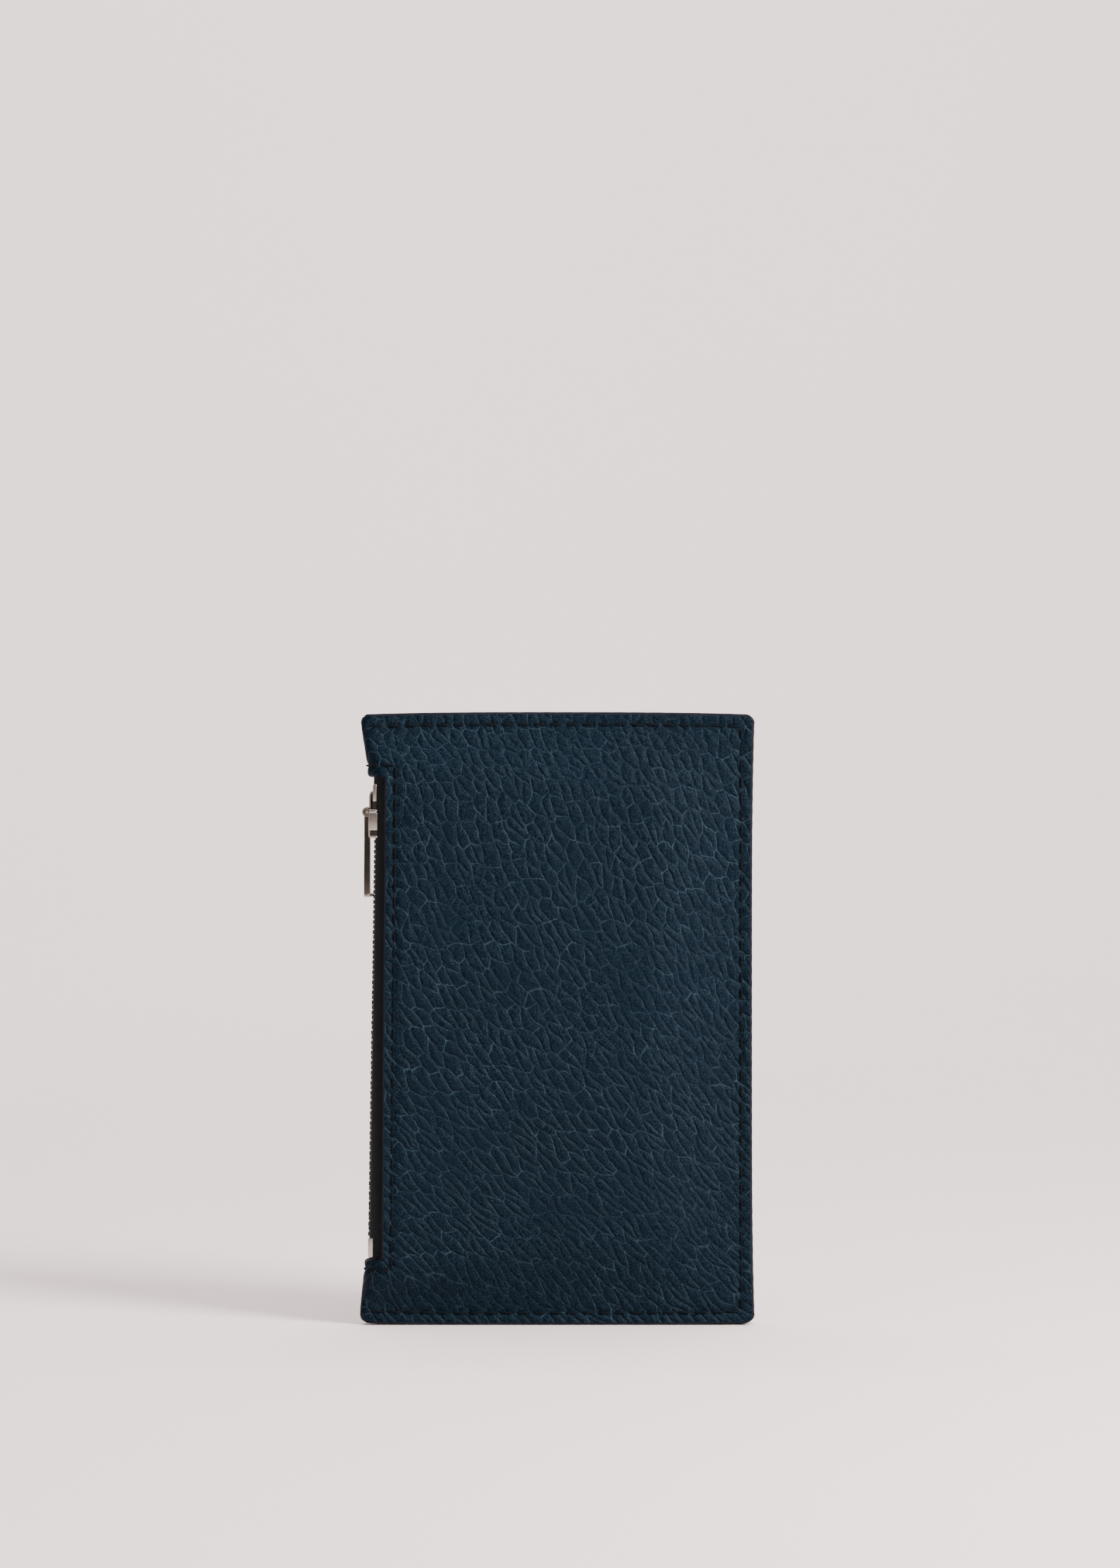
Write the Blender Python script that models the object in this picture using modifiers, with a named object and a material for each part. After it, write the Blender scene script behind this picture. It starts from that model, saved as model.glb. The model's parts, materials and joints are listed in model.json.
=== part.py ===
"""Zip card holder: one leather sheet folded round a zipped pocket, with card slots on the back.

Frame: origin at the middle of the base, +Z up the long side, the fold and its zip on -X,
the plain front towards -Y and the card slots towards +Y.
Sizes are in millimetres and are turned into metres where meshes are made.
"""
import math

import bmesh
import bpy

MM = 0.001

# Outline of the closed holder.
WIDTH = 80.6
HEIGHT = 125.0
RIGHT = WIDTH / 2
LEFT = -WIDTH / 2
CORNER_RADIUS = 2.0
FOLD_DRAW_IN = 1.0          # the fold sits this much further in along the slot than at its ends

# Layers, from the front to the back.
LEATHER = 1.2
LINING = 0.3
STIFFENER = 0.3
PANEL = 0.55
PANEL_COUNT = 3
GAP = 0.2
FOLD_RADIUS = 4.5           # half the thickness of the folded sheet, away from its seams

# How the layers close up towards the seams.
SEAM_FLAT = 3.0
RISE_AT_FOLD = 9.0
RISE_AT_RIGHT = 20.0

# The slot that is cut along the fold, and its zip.
SLOT_BOTTOM = 13.3
SLOT_TOP = 112.0
SLOT_EDGE_TOP = -35.3
SLOT_EDGE_BOTTOM = -35.85
SLOT_CORNER = 1.0
ZIP_SLOPE = 0.0155          # the zip leans: sideways run for each unit of height
TAPE = 0.4
TAPE_BOTTOM = 13.6
TAPE_TOP = 111.7
TAPE_SEWN_EDGE = -30.7
TAPE_OFFSET = 2.75          # the tape's sewn part, from the middle plane of the zip
TAPE_BEND = 0.8
TOOTH_PITCH = 2.05
TOOTH_HEIGHT = 0.85
TOOTH_HALF_THICKNESS = 0.6
TOOTH_TIP = 0.55            # how far a tooth reaches past the middle plane
CHAIN_HALF_WIDTH = 2.0
CHAIN_CORD = 0.7
TEETH_TOP = 1.0             # above the slider's middle
BOTTOM_STOP = (13.9, 17.8)

# The slider, about its own middle: x outward is negative, z up the zip.
SLIDER_X = -36.2
SLIDER_Z = 104.8
SLIDER_HALF_LENGTH = 5.5
PLATE_INNER = 0.75
PLATE_OUTER = 1.45
CHEEK_INNER = 1.25
CHEEK_OUTER = 1.75
PIN_X = -2.6
PIN_Z = -0.3
PIN_RADIUS = 0.4
EYE_BORE = 0.5
EYE_RADIUS = 1.0

# The puller, which hangs plumb from its pin.
PULLER_BOTTOM = 87.2
PULLER_HALF_WIDTH = 2.2
PULLER_NECK_HALF_WIDTH = 1.05
PULLER_FACES = (-39.4, -38.15)
PULLER_FOOT = (-37.3, 0.8)

THREAD_RADIUS = 0.25
THREAD_LIFT = 0.32
SEAM_INSET = 2.5
SLOT_SEAM = 2.0

SHEET_EDGE = LEATHER * 2 + LINING * 2 + GAP * 3       # thickness of the folded sheet at a seam
STACK_EDGE = SHEET_EDGE + PANEL_COUNT * (GAP + PANEL)
STACK_MIDDLE = FOLD_RADIUS * 2 + PANEL_COUNT * (GAP + PANEL)
THREAD_STANDS = THREAD_LIFT + THREAD_RADIUS          # the slot's seam stands this far off the front
CENTRE_Y = (THREAD_STANDS - STACK_MIDDLE) / 2 + FOLD_RADIUS     # middle plane of sheet and zip
EDGE_HALF = SHEET_EDGE / 2
ZIP_LEAN = math.atan(ZIP_SLOPE)

# The same grid lines run through every layer, so that their facets match.
ROWS = [-1.0, 0.5, 3.0, 5.0, 7.0, 9.0, 12.0, 15.0, 19.0, 23.0, 32.0, 42.0, 52.0, 62.5]
ROWS += [HEIGHT - row for row in reversed(ROWS[:-1])]
COLUMNS = [-30.0, -20.0, -10.0, 0.0, 8.0, 15.0, 18.0, 21.0, 24.0, 27.0, 30.0, 33.0, 37.3, 41.3]


def smooth(value):
    t = min(max(value, 0.0), 1.0)
    return t * t * (3 - 2 * t)


def fullness(x, z):
    """0 at the seams and 1 where the layers stand fully apart."""
    toward_right = max((x - TAPE_SEWN_EDGE) / (RIGHT - TAPE_SEWN_EDGE), 0.0)
    rise = RISE_AT_FOLD + (RISE_AT_RIGHT - RISE_AT_FOLD) * toward_right
    from_end = min(z, HEIGHT - z)
    along = smooth((from_end - SEAM_FLAT) / rise)
    across = smooth((RIGHT - x - SEAM_FLAT) / RISE_AT_RIGHT)
    return along * across


def between(at_seam, at_middle, x, z):
    return at_seam + (at_middle - at_seam) * fullness(x, z)


def fold_left(z):
    from_end = min(z, HEIGHT - z)
    return LEFT + FOLD_DRAW_IN * smooth(from_end / SLOT_BOTTOM)


# Scene helpers -----------------------------------------------------------------------------

def clear_scene():
    for item in list(bpy.data.objects):
        bpy.data.objects.remove(item, do_unlink=True)


def collection(name):
    made = bpy.data.collections.new(name)
    bpy.context.scene.collection.children.link(made)
    return made


def put_in(obj, target):
    for owner in list(obj.users_collection):
        owner.objects.unlink(obj)
    target.objects.link(obj)


def material(name, color, roughness, metallic=0.0):
    made = bpy.data.materials.new(name)
    made.use_nodes = True
    shader = made.node_tree.nodes["Principled BSDF"]
    shader.inputs["Base Color"].default_value = (*color, 1.0)
    shader.inputs["Roughness"].default_value = roughness
    shader.inputs["Metallic"].default_value = metallic
    return made


def finish_part(obj, name, mat, parent=None):
    obj.name = name
    obj.data.name = name
    obj.data.materials.clear()
    obj.data.materials.append(mat)
    put_in(obj, PARTS)
    if parent is not None:
        obj.parent = parent
    return obj


def make_cutter(obj, name):
    obj.name = name
    obj.hide_render = True
    obj.display_type = "WIRE"
    put_in(obj, CUTTERS)
    return obj


def boolean(obj, other, operation):
    step = obj.modifiers.new(operation.title(), "BOOLEAN")
    step.operation = operation
    step.solver = "EXACT"
    step.object = other
    return step


def apply_modifiers(obj):
    """Replace an object's mesh with what its modifiers make of it."""
    graph = bpy.context.evaluated_depsgraph_get()
    graph.update()
    mesh = bpy.data.meshes.new_from_object(obj.evaluated_get(graph))
    obj.modifiers.clear()
    obj.data = mesh
    return obj


def union(pieces):
    """Join closed meshes into one body, and remove all but the first."""
    base = pieces[0]
    for piece in pieces[1:]:
        boolean(base, piece, "UNION")
    apply_modifiers(base)
    for piece in pieces[1:]:
        bpy.data.objects.remove(piece, do_unlink=True)
    return base


def box(low, high):
    """A box between two corners, with its size in its mesh."""
    bpy.ops.mesh.primitive_cube_add(size=1)
    obj = bpy.context.object
    for vert in obj.data.vertices:
        vert.co = [(a + b) / 2 * MM + side * (b - a) * MM
                   for a, b, side in zip(low, high, vert.co)]
    return obj


def cylinder_y(radius, half_length, x, z, sides=20):
    """A round bar along Y through (x, 0, z)."""
    bpy.ops.mesh.primitive_cylinder_add(vertices=sides, radius=radius * MM,
                                        depth=half_length * 2 * MM,
                                        rotation=(math.pi / 2, 0, 0))
    obj = bpy.context.object
    obj.data.transform(obj.matrix_world)
    obj.matrix_world.identity()
    for vert in obj.data.vertices:
        vert.co.x += x * MM
        vert.co.z += z * MM
    return obj


def outline_solid(points, low, high, plane):
    """A flat outline pushed through its plane, as a mesh.

    plane "XZ" takes points (x, z) and runs from y=low to y=high;
    plane "YZ" takes points (y, z) and runs from x=low to x=high.
    """
    curve = bpy.data.curves.new("outline", "CURVE")
    curve.dimensions = "2D"
    curve.fill_mode = "BOTH"
    curve.extrude = (high - low) / 2
    spline = curve.splines.new("POLY")
    spline.points.add(len(points) - 1)
    for point, (across, up) in zip(spline.points, points):
        point.co = (across, up, 0, 1)
    spline.use_cyclic_u = True
    flat = bpy.data.objects.new("outline", curve)
    bpy.context.scene.collection.objects.link(flat)
    solid = mesh_from_curve(flat, 0.01)
    middle = (low + high) / 2
    for vert in solid.data.vertices:
        across, up, through = vert.co
        if plane == "XZ":
            vert.co = (across * MM, (middle - through) * MM, up * MM)
        else:
            vert.co = ((middle + through) * MM, across * MM, up * MM)
    return solid


def mesh_from_curve(curve_object, weld):
    """A closed mesh object from a curve object, which is removed."""
    graph = bpy.context.evaluated_depsgraph_get()
    graph.update()
    mesh = bpy.data.meshes.new_from_object(curve_object.evaluated_get(graph))
    work = bmesh.new()
    work.from_mesh(mesh)
    bmesh.ops.remove_doubles(work, verts=work.verts, dist=weld)
    bmesh.ops.recalc_face_normals(work, faces=work.faces)
    work.to_mesh(mesh)
    work.free()
    made = bpy.data.objects.new("mesh", mesh)
    made.matrix_world = curve_object.matrix_world
    bpy.context.scene.collection.objects.link(made)
    bpy.data.objects.remove(curve_object, do_unlink=True)
    return made


def rounded_outline(left, right, bottom, top, radii, steps=6):
    """Corners in turn: bottom left, bottom right, top right, top left."""
    corners = [(left, bottom, 180), (right, bottom, 270), (right, top, 0), (left, top, 90)]
    points = []
    for (x, z, start), radius in zip(corners, radii):
        centre_x = x + radius if x == left else x - radius
        centre_z = z + radius if z == bottom else z - radius
        for step in range(steps + 1):
            angle = math.radians(start + 90 * step / steps)
            points.append((centre_x + radius * math.cos(angle),
                           centre_z + radius * math.sin(angle)))
    return points


# Sheets ------------------------------------------------------------------------------------

def grid_sheet(columns, rows, place, thickness):
    """A grid whose points are set by place(column, row), thickened about its middle."""
    bpy.ops.mesh.primitive_grid_add(x_subdivisions=len(columns) - 1,
                                    y_subdivisions=len(rows) - 1, size=1)
    obj = bpy.context.object
    for vert in obj.data.vertices:
        column = round((vert.co.x + 0.5) * (len(columns) - 1))
        row = round((vert.co.y + 0.5) * (len(rows) - 1))
        vert.co = [value * MM for value in place(columns[column], rows[row])]
    solid = obj.modifiers.new("Solidify", "SOLIDIFY")
    solid.thickness = thickness * MM
    solid.offset = 0
    return obj


def lines_within(lines, low, high):
    return [low] + [line for line in lines if low + 0.5 < line < high - 0.5] + [high]


def flat_layer(name, mat, x_range, z_range, seam_y, middle_y, thickness, trimmed=True):
    """A layer that follows the pillowed stack; y values are of its middle."""
    def place(x, z):
        return x, between(seam_y, middle_y, x, z), z

    columns = lines_within(COLUMNS, *x_range)
    rows = lines_within(ROWS, *z_range)
    obj = grid_sheet(columns, rows, place, thickness)
    apply_modifiers(obj)
    if trimmed:
        boolean(obj, EDGE_CUTTER, "INTERSECT")
        apply_modifiers(obj)
    return finish_part(obj, name, mat)


def wrap_place(station, z):
    """A point on the middle of the folded sheet; station is (side, position)."""
    side, position = station
    half = between(EDGE_HALF, FOLD_RADIUS, LEFT, z)
    radius = half - LEATHER / 2
    centre_x = fold_left(z) + half
    if side == "fold":
        angle = math.pi * position
        return (centre_x - radius * math.sin(angle),
                CENTRE_Y - radius * math.cos(angle), z)
    depth = between(EDGE_HALF, FOLD_RADIUS, position, z) - LEATHER / 2
    return position, CENTRE_Y + side * depth, z


def make_outer_leather():
    front = [(-1, x) for x in reversed(COLUMNS)]
    fold = [("fold", step / 12) for step in range(13)]
    back = [(1, x) for x in COLUMNS]
    obj = grid_sheet(front + fold + back, ROWS, wrap_place, LEATHER)
    apply_modifiers(obj)
    boolean(obj, EDGE_CUTTER, "INTERSECT")
    boolean(obj, SLOT_CUTTER, "DIFFERENCE")
    apply_modifiers(obj)
    return finish_part(obj, "outer_leather", LEATHER_MAT)


def make_linings_and_stiffeners():
    front_inner_seam = CENTRE_Y - EDGE_HALF + LEATHER
    front_inner_middle = CENTRE_Y - FOLD_RADIUS + LEATHER
    middle_room = GAP * 2 + STIFFENER
    for name, side in (("front", 1), ("back", -1)):
        seam = CENTRE_Y - side * (CENTRE_Y - front_inner_seam)
        middle = CENTRE_Y - side * (CENTRE_Y - front_inner_middle)
        flat_layer(f"lining_{name}", LINING_MAT, (TAPE_SEWN_EDGE + 0.3, RIGHT + 1),
                   (-1.0, HEIGHT + 1),
                   seam + side * (GAP + LINING / 2),
                   middle + side * (middle_room + LINING / 2), LINING)
        flat_layer(f"{name}_stiffener", BOARD_MAT, (-30.0, 18.0), (19.0, HEIGHT - 19.0),
                   seam + side * GAP / 2, middle + side * middle_room / 2,
                   STIFFENER, trimmed=False)


def make_card_slot_panels():
    seam = CENTRE_Y + EDGE_HALF
    middle = CENTRE_Y + FOLD_RADIUS
    for index in range(PANEL_COUNT):
        out = GAP + PANEL / 2 + index * (GAP + PANEL)
        mouth = -22.0 + 10.0 * index
        flat_layer(f"card_slot_panel_{index + 1}", LEATHER_MAT, (mouth, RIGHT + 1),
                   (-1.0, HEIGHT + 1), seam + out, middle + out, PANEL)


# The zip -----------------------------------------------------------------------------------

def zip_z(height):
    """Place along the zip, from the slider's middle, of a height above the base."""
    return (height - SLIDER_Z) / math.cos(ZIP_LEAN)


def make_tape(name, side):
    """side is -1 for the front half of the zip and 1 for the back half."""
    flat_end = TAPE_SEWN_EDGE - SLIDER_X
    path = [(0.0, CHAIN_HALF_WIDTH + 0.2)]
    for step in range(6):
        angle = math.pi / 2 * step / 5
        path.append((TAPE_BEND * (1 - math.cos(angle)),
                     TAPE_OFFSET - TAPE_BEND * (1 - math.sin(angle)) * 0.5))
    path.append((flat_end, TAPE_OFFSET))

    def place(step, z):
        x, y = path[step]
        return x, side * y, z

    rows = [zip_z(TAPE_BOTTOM) + (zip_z(TAPE_TOP) - zip_z(TAPE_BOTTOM)) * k / 12
            for k in range(13)]
    obj = grid_sheet(list(range(len(path))), rows, place, TAPE)
    apply_modifiers(obj)
    return finish_part(obj, name, TAPE_MAT, ZIP_LINE)


def make_teeth(name, side):
    """One row of teeth, with the cord along the tape's edge that they grip."""
    bottom = zip_z(BOTTOM_STOP[1]) + 0.3
    count = int((TEETH_TOP - bottom) / TOOTH_PITCH)
    low = bottom + 0.1 + (0.0 if side < 0 else TOOTH_PITCH / 2)
    across = sorted((side * (CHAIN_HALF_WIDTH - 0.1), -side * TOOTH_TIP))
    teeth = box((-TOOTH_HALF_THICKNESS, across[0], low),
                (TOOTH_HALF_THICKNESS, across[1], low + TOOTH_HEIGHT))
    row = teeth.modifiers.new("Array", "ARRAY")
    row.count = count
    row.use_relative_offset = False
    row.use_constant_offset = True
    row.constant_offset_displace = (0, 0, TOOTH_PITCH * MM)
    apply_modifiers(teeth)
    across = sorted((side * CHAIN_HALF_WIDTH, side * (CHAIN_HALF_WIDTH - CHAIN_CORD)))
    cord = box((-0.45, across[0], bottom), (0.45, across[1], TEETH_TOP + 0.4))
    return finish_part(union([cord, teeth]), name, TEETH_MAT, ZIP_LINE)


def make_stops():
    for name, side in (("front", -1), ("back", 1)):
        ends = sorted((side * 1.2, side * CHAIN_HALF_WIDTH))
        stop = box((-0.55, ends[0], 2.0), (0.55, ends[1], 4.2))
        finish_part(stop, f"zip_top_stop_{name}", NICKEL_MAT, ZIP_LINE)
    low, high = [zip_z(height) for height in BOTTOM_STOP]
    stop = box((-0.75, -1.9, low), (0.75, 1.9, high))
    rounding = stop.modifiers.new("Bevel", "BEVEL")
    rounding.width = 0.3 * MM
    rounding.segments = 2
    finish_part(stop, "zip_bottom_stop", NICKEL_MAT, ZIP_LINE)


def plate_outline(nose, waist, tail):
    """Half widths at the nose, waist and tail make a rounded slider plate."""
    end = SLIDER_HALF_LENGTH
    half = [(tail, -end + 0.6), (tail, -0.9), (waist, 0.2), (waist, 1.4), (nose, 2.2),
            (nose, end - 1.0), (nose - 0.8, end)]
    right = [(tail - 0.6, -end)] + half
    left = [(-y, z) for y, z in reversed(right)]
    return right + left


def make_slider_body():
    outer = outline_solid(plate_outline(3.2, 2.0, 2.8), -PLATE_OUTER, -PLATE_INNER, "YZ")
    inner = outline_solid(plate_outline(2.3, 1.8, 2.2), PLATE_INNER, PLATE_OUTER, "YZ")
    post = outline_solid([(0, 1.7), (0.85, 3.2), (0.6, 5.0), (-0.6, 5.0), (-0.85, 3.2)],
                         -PLATE_INNER - 0.2, PLATE_INNER + 0.2, "YZ")
    pieces = [outer, inner, post]
    for side in (-1, 1):
        tail = sorted((side * 2.2, side * 2.75))
        nose = sorted((side * 2.6, side * 3.15))
        pieces.append(box((-PLATE_INNER - 0.2, tail[0], -4.9), (-0.32, tail[1], -0.95)))
        pieces.append(box((-PLATE_INNER - 0.2, nose[0], 2.25), (-0.32, nose[1], 4.4)))
    return finish_part(union(pieces), "slider_body", NICKEL_MAT, SLIDER)


def arch_outline():
    """The strap that bridges the crown's cheeks above the eye, in the XZ plane."""
    outer = [(-2.45, 1.5), (-2.5, 2.6), (-2.3, 3.6), (-1.95, 4.2), (-1.55, 4.4)]
    inner = [(-1.55, 3.8), (-1.85, 3.4), (-2.05, 2.6), (-2.0, 1.5)]
    return outer + inner


def make_slider_crown():
    foot = -PLATE_OUTER - 0.1
    pieces = []
    for side in (-1, 1):
        low, high = sorted((side * CHEEK_INNER, side * CHEEK_OUTER))
        cheek = [(foot, -5.4), (foot - 0.65, -5.4), (foot - 0.85, -4.9), (foot - 0.85, -1.0),
                 (PIN_X - 0.6, PIN_Z - 0.5), (PIN_X - 0.7, PIN_Z), (PIN_X - 0.5, PIN_Z + 0.6),
                 (-2.5, 1.4), (-2.5, 2.6), (-2.3, 3.6), (-1.95, 4.2), (foot, 4.4)]
        pieces.append(outline_solid(cheek, low, high, "XZ"))
    pieces.append(outline_solid(arch_outline(), -CHEEK_INNER - 0.1, CHEEK_INNER + 0.1, "XZ"))
    pieces.append(box((foot - 0.15, -CHEEK_INNER - 0.1, -5.3), (foot, CHEEK_INNER + 0.1, -3.6)))
    crown = union(pieces)
    bore = make_cutter(cylinder_y(PIN_RADIUS + 0.03, 3.0, PIN_X, PIN_Z), "pin_bore_cutter")
    boolean(crown, bore, "DIFFERENCE")
    apply_modifiers(crown)
    return finish_part(crown, "slider_crown", NICKEL_MAT, SLIDER)


def make_lock_spring():
    spring = box((-1.86, -0.8, 1.2), (-1.66, 0.8, 3.4))
    return finish_part(spring, "slider_lock_spring", STEEL_MAT, SLIDER)


def make_puller_pin():
    pin = cylinder_y(PIN_RADIUS, CHEEK_OUTER, PIN_X, PIN_Z)
    return finish_part(pin, "puller_pin", STEEL_MAT, SLIDER)


def make_puller():
    """Modelled round its own hinge, which is at the origin of its parent."""
    hinge = PULLER_HINGE.location / MM
    outer = PULLER_FACES[0] - hinge.x
    inner = PULLER_FACES[1] - hinge.x
    bottom = PULLER_BOTTOM - hinge.z
    neck_end = -6.3
    eye = cylinder_y(EYE_RADIUS, PULLER_NECK_HALF_WIDTH, 0, 0, sides=28)
    neck = box((outer, -PULLER_NECK_HALF_WIDTH, neck_end - 1), (inner, PULLER_NECK_HALF_WIDTH, 0))
    shoulders = [(-PULLER_HALF_WIDTH, bottom), (PULLER_HALF_WIDTH, bottom),
                 (PULLER_HALF_WIDTH, neck_end - 1.2), (PULLER_NECK_HALF_WIDTH, neck_end),
                 (-PULLER_NECK_HALF_WIDTH, neck_end), (-PULLER_HALF_WIDTH, neck_end - 1.2)]
    bar = outline_solid(shoulders, outer, inner, "YZ")
    foot = box((outer + 0.2, -PULLER_HALF_WIDTH, bottom),
               (PULLER_FOOT[0] - hinge.x, PULLER_HALF_WIDTH, bottom + PULLER_FOOT[1]))
    puller = union([bar, neck, eye, foot])
    bore = make_cutter(cylinder_y(EYE_BORE, 3.0, 0, 0), "eye_bore_cutter")
    boolean(puller, bore, "DIFFERENCE")
    apply_modifiers(puller)
    bpy.data.objects.remove(bore, do_unlink=True)
    return finish_part(puller, "puller", NICKEL_MAT, PULLER_HINGE)


# Threads -----------------------------------------------------------------------------------

def thread(name, points, closed=False):
    curve = bpy.data.curves.new(name, "CURVE")
    curve.dimensions = "3D"
    curve.bevel_depth = THREAD_RADIUS * MM
    curve.bevel_resolution = 0
    curve.use_fill_caps = True
    spline = curve.splines.new("POLY")
    spline.points.add(len(points) - 1)
    for point, place in zip(spline.points, points):
        point.co = (*[value * MM for value in place], 1)
    spline.use_cyclic_u = closed
    obj = bpy.data.objects.new(name, curve)
    bpy.context.scene.collection.objects.link(obj)
    return finish_part(mesh_from_curve(obj, 0.01 * MM), name, THREAD_MAT)


def make_perimeter_threads():
    """A seam round the three cut sides, seen on the front and on the back."""
    bottom, top, right = SEAM_INSET, HEIGHT - SEAM_INSET, RIGHT - SEAM_INSET
    corners = [(LEFT + 2.5, top), (right, top), (right, bottom), (LEFT + 2.5, bottom)]
    path = []
    for (x0, z0), (x1, z1) in zip(corners, corners[1:]):
        path += [(x0 + (x1 - x0) * k / 10, z0 + (z1 - z0) * k / 10) for k in range(10)]
    path.append(corners[-1])
    front_y = CENTRE_Y - EDGE_HALF - THREAD_LIFT
    back_y = CENTRE_Y - EDGE_HALF + STACK_EDGE + THREAD_LIFT
    thread("perimeter_thread_front", [(x, front_y, z) for x, z in path])
    thread("perimeter_thread_back",
           [(x, back_y, z) for x, z in path if x > 0])


def make_slot_thread():
    """One loop round the slot: up the front, round the fold, down the back and round again."""
    low, high = SLOT_BOTTOM - SLOT_SEAM, SLOT_TOP + SLOT_SEAM

    def side_points(side, upward):
        points = []
        for k in range(13):
            t = k / 12 if upward else 1 - k / 12
            z = low + (high - low) * t
            edge = SLOT_EDGE_BOTTOM + (SLOT_EDGE_TOP - SLOT_EDGE_BOTTOM) * t
            x = edge + SLOT_SEAM
            points.append((x, CENTRE_Y + side * (between(EDGE_HALF, FOLD_RADIUS, LEFT, z)
                                                 + THREAD_LIFT), z))
        return points

    def round_fold(z, start_side):
        half = between(EDGE_HALF, FOLD_RADIUS, LEFT, z)
        reach = half + THREAD_LIFT
        points = []
        for k in range(1, 12):
            angle = math.pi * k / 12
            points.append((fold_left(z) + half - reach * math.sin(angle),
                           CENTRE_Y + start_side * reach * math.cos(angle), z))
        return points

    loop = side_points(-1, True) + round_fold(high, -1)
    loop += side_points(1, False) + round_fold(low, 1)
    thread("slot_thread", loop, closed=True)


# The model ---------------------------------------------------------------------------------

clear_scene()
PARTS = collection("card_holder")
CUTTERS = collection("cutters")

LEATHER_MAT = material("leather_navy", (0.010, 0.022, 0.036), 0.5)
LINING_MAT = material("lining_cloth", (0.05, 0.04, 0.035), 0.9)
BOARD_MAT = material("stiffener_board", (0.30, 0.24, 0.17), 0.9)
TAPE_MAT = material("zip_tape", (0.007, 0.008, 0.011), 0.9)
TEETH_MAT = material("zip_teeth", (0.012, 0.012, 0.014), 0.45)
NICKEL_MAT = material("nickel", (0.62, 0.58, 0.54), 0.25, 1.0)
STEEL_MAT = material("steel", (0.50, 0.50, 0.50), 0.35, 1.0)
THREAD_MAT = material("thread", (0.008, 0.014, 0.022), 0.8)


def make_cutters():
    outline = rounded_outline(LEFT - 5, RIGHT, 0, HEIGHT, (0.5, CORNER_RADIUS, CORNER_RADIUS, 0.5))
    edge = make_cutter(outline_solid(outline, -12, 12, "XZ"), "edge_cutter")
    slot = rounded_outline(LEFT - 6, 0, SLOT_BOTTOM, SLOT_TOP,
                           (0.5, SLOT_CORNER, SLOT_CORNER, 0.5))
    middle = (SLOT_BOTTOM + SLOT_TOP) / 2
    slope = (SLOT_EDGE_TOP - SLOT_EDGE_BOTTOM) / (SLOT_TOP - SLOT_BOTTOM)
    edge_middle = (SLOT_EDGE_TOP + SLOT_EDGE_BOTTOM) / 2
    leaned = []
    for x, z in slot:
        leaned.append((x + (edge_middle + slope * (z - middle) if x > LEFT else 0.0), z))
    return edge, make_cutter(outline_solid(leaned, -12, 12, "XZ"), "slot_cutter")


def empty(name, location, lean, parent=None):
    made = bpy.data.objects.new(name, None)
    PARTS.objects.link(made)
    made.location = [value * MM for value in location]
    made.rotation_euler = (0, lean, 0)
    made.parent = parent
    return made


EDGE_CUTTER, SLOT_CUTTER = make_cutters()
ZIP_LINE = empty("zip_line", (SLIDER_X, CENTRE_Y, SLIDER_Z), ZIP_LEAN)
SLIDER = empty("slider_axis", (0, 0, 0), 0, ZIP_LINE)
pin_x = SLIDER_X + PIN_X * math.cos(ZIP_LEAN) + PIN_Z * math.sin(ZIP_LEAN)
pin_z = SLIDER_Z - PIN_X * math.sin(ZIP_LEAN) + PIN_Z * math.cos(ZIP_LEAN)
PULLER_HINGE = empty("puller_hinge", (pin_x, CENTRE_Y, pin_z), 0)

make_outer_leather()
make_linings_and_stiffeners()
make_card_slot_panels()
make_tape("zip_tape_front", -1)
make_tape("zip_tape_back", 1)
make_teeth("zip_teeth_front", -1)
make_teeth("zip_teeth_back", 1)
make_stops()
make_slider_body()
make_slider_crown()
make_lock_spring()
make_puller_pin()
make_puller()
make_perimeter_threads()
make_slot_thread()
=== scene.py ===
"""Looks for the zip card holder: pebbled leather, painted edges, stitching, zip and metal.

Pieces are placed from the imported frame's boxes. Sizes are in millimetres in the frame's own axes
(+Z up the long side, the fold on -X, the plain front towards -Y) and become metres where meshes
are made. Materials, lights and the camera are in metres.
"""
import json
import math

import bmesh
import bpy
import numpy as np
from mathutils import Matrix, Vector, noise


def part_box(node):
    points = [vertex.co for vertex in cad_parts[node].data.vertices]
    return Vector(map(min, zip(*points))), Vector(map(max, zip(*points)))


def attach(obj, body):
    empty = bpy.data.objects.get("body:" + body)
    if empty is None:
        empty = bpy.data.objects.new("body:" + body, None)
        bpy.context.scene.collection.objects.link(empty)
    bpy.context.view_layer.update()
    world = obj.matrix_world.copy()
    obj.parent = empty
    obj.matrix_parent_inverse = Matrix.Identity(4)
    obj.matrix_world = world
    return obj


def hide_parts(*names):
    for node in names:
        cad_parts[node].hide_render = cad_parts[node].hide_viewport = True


MM = 0.001
SHARP_DEGREES = 50           # edges sharper than this stay crisp

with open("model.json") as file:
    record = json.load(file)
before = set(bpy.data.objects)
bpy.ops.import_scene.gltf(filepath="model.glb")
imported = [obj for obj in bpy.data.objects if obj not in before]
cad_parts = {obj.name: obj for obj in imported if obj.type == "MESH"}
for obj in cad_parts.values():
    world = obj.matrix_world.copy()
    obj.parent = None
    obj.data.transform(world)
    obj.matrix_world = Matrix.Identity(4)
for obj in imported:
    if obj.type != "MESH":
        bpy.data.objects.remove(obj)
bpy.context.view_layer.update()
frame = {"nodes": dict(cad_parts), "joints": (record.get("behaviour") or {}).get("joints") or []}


def node_box(node):
    """Lowest and highest corners of a node, in millimetres."""
    low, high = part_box(node)
    return low / MM, high / MM


# Sizes that come from the frame ---------------------------------------

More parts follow.
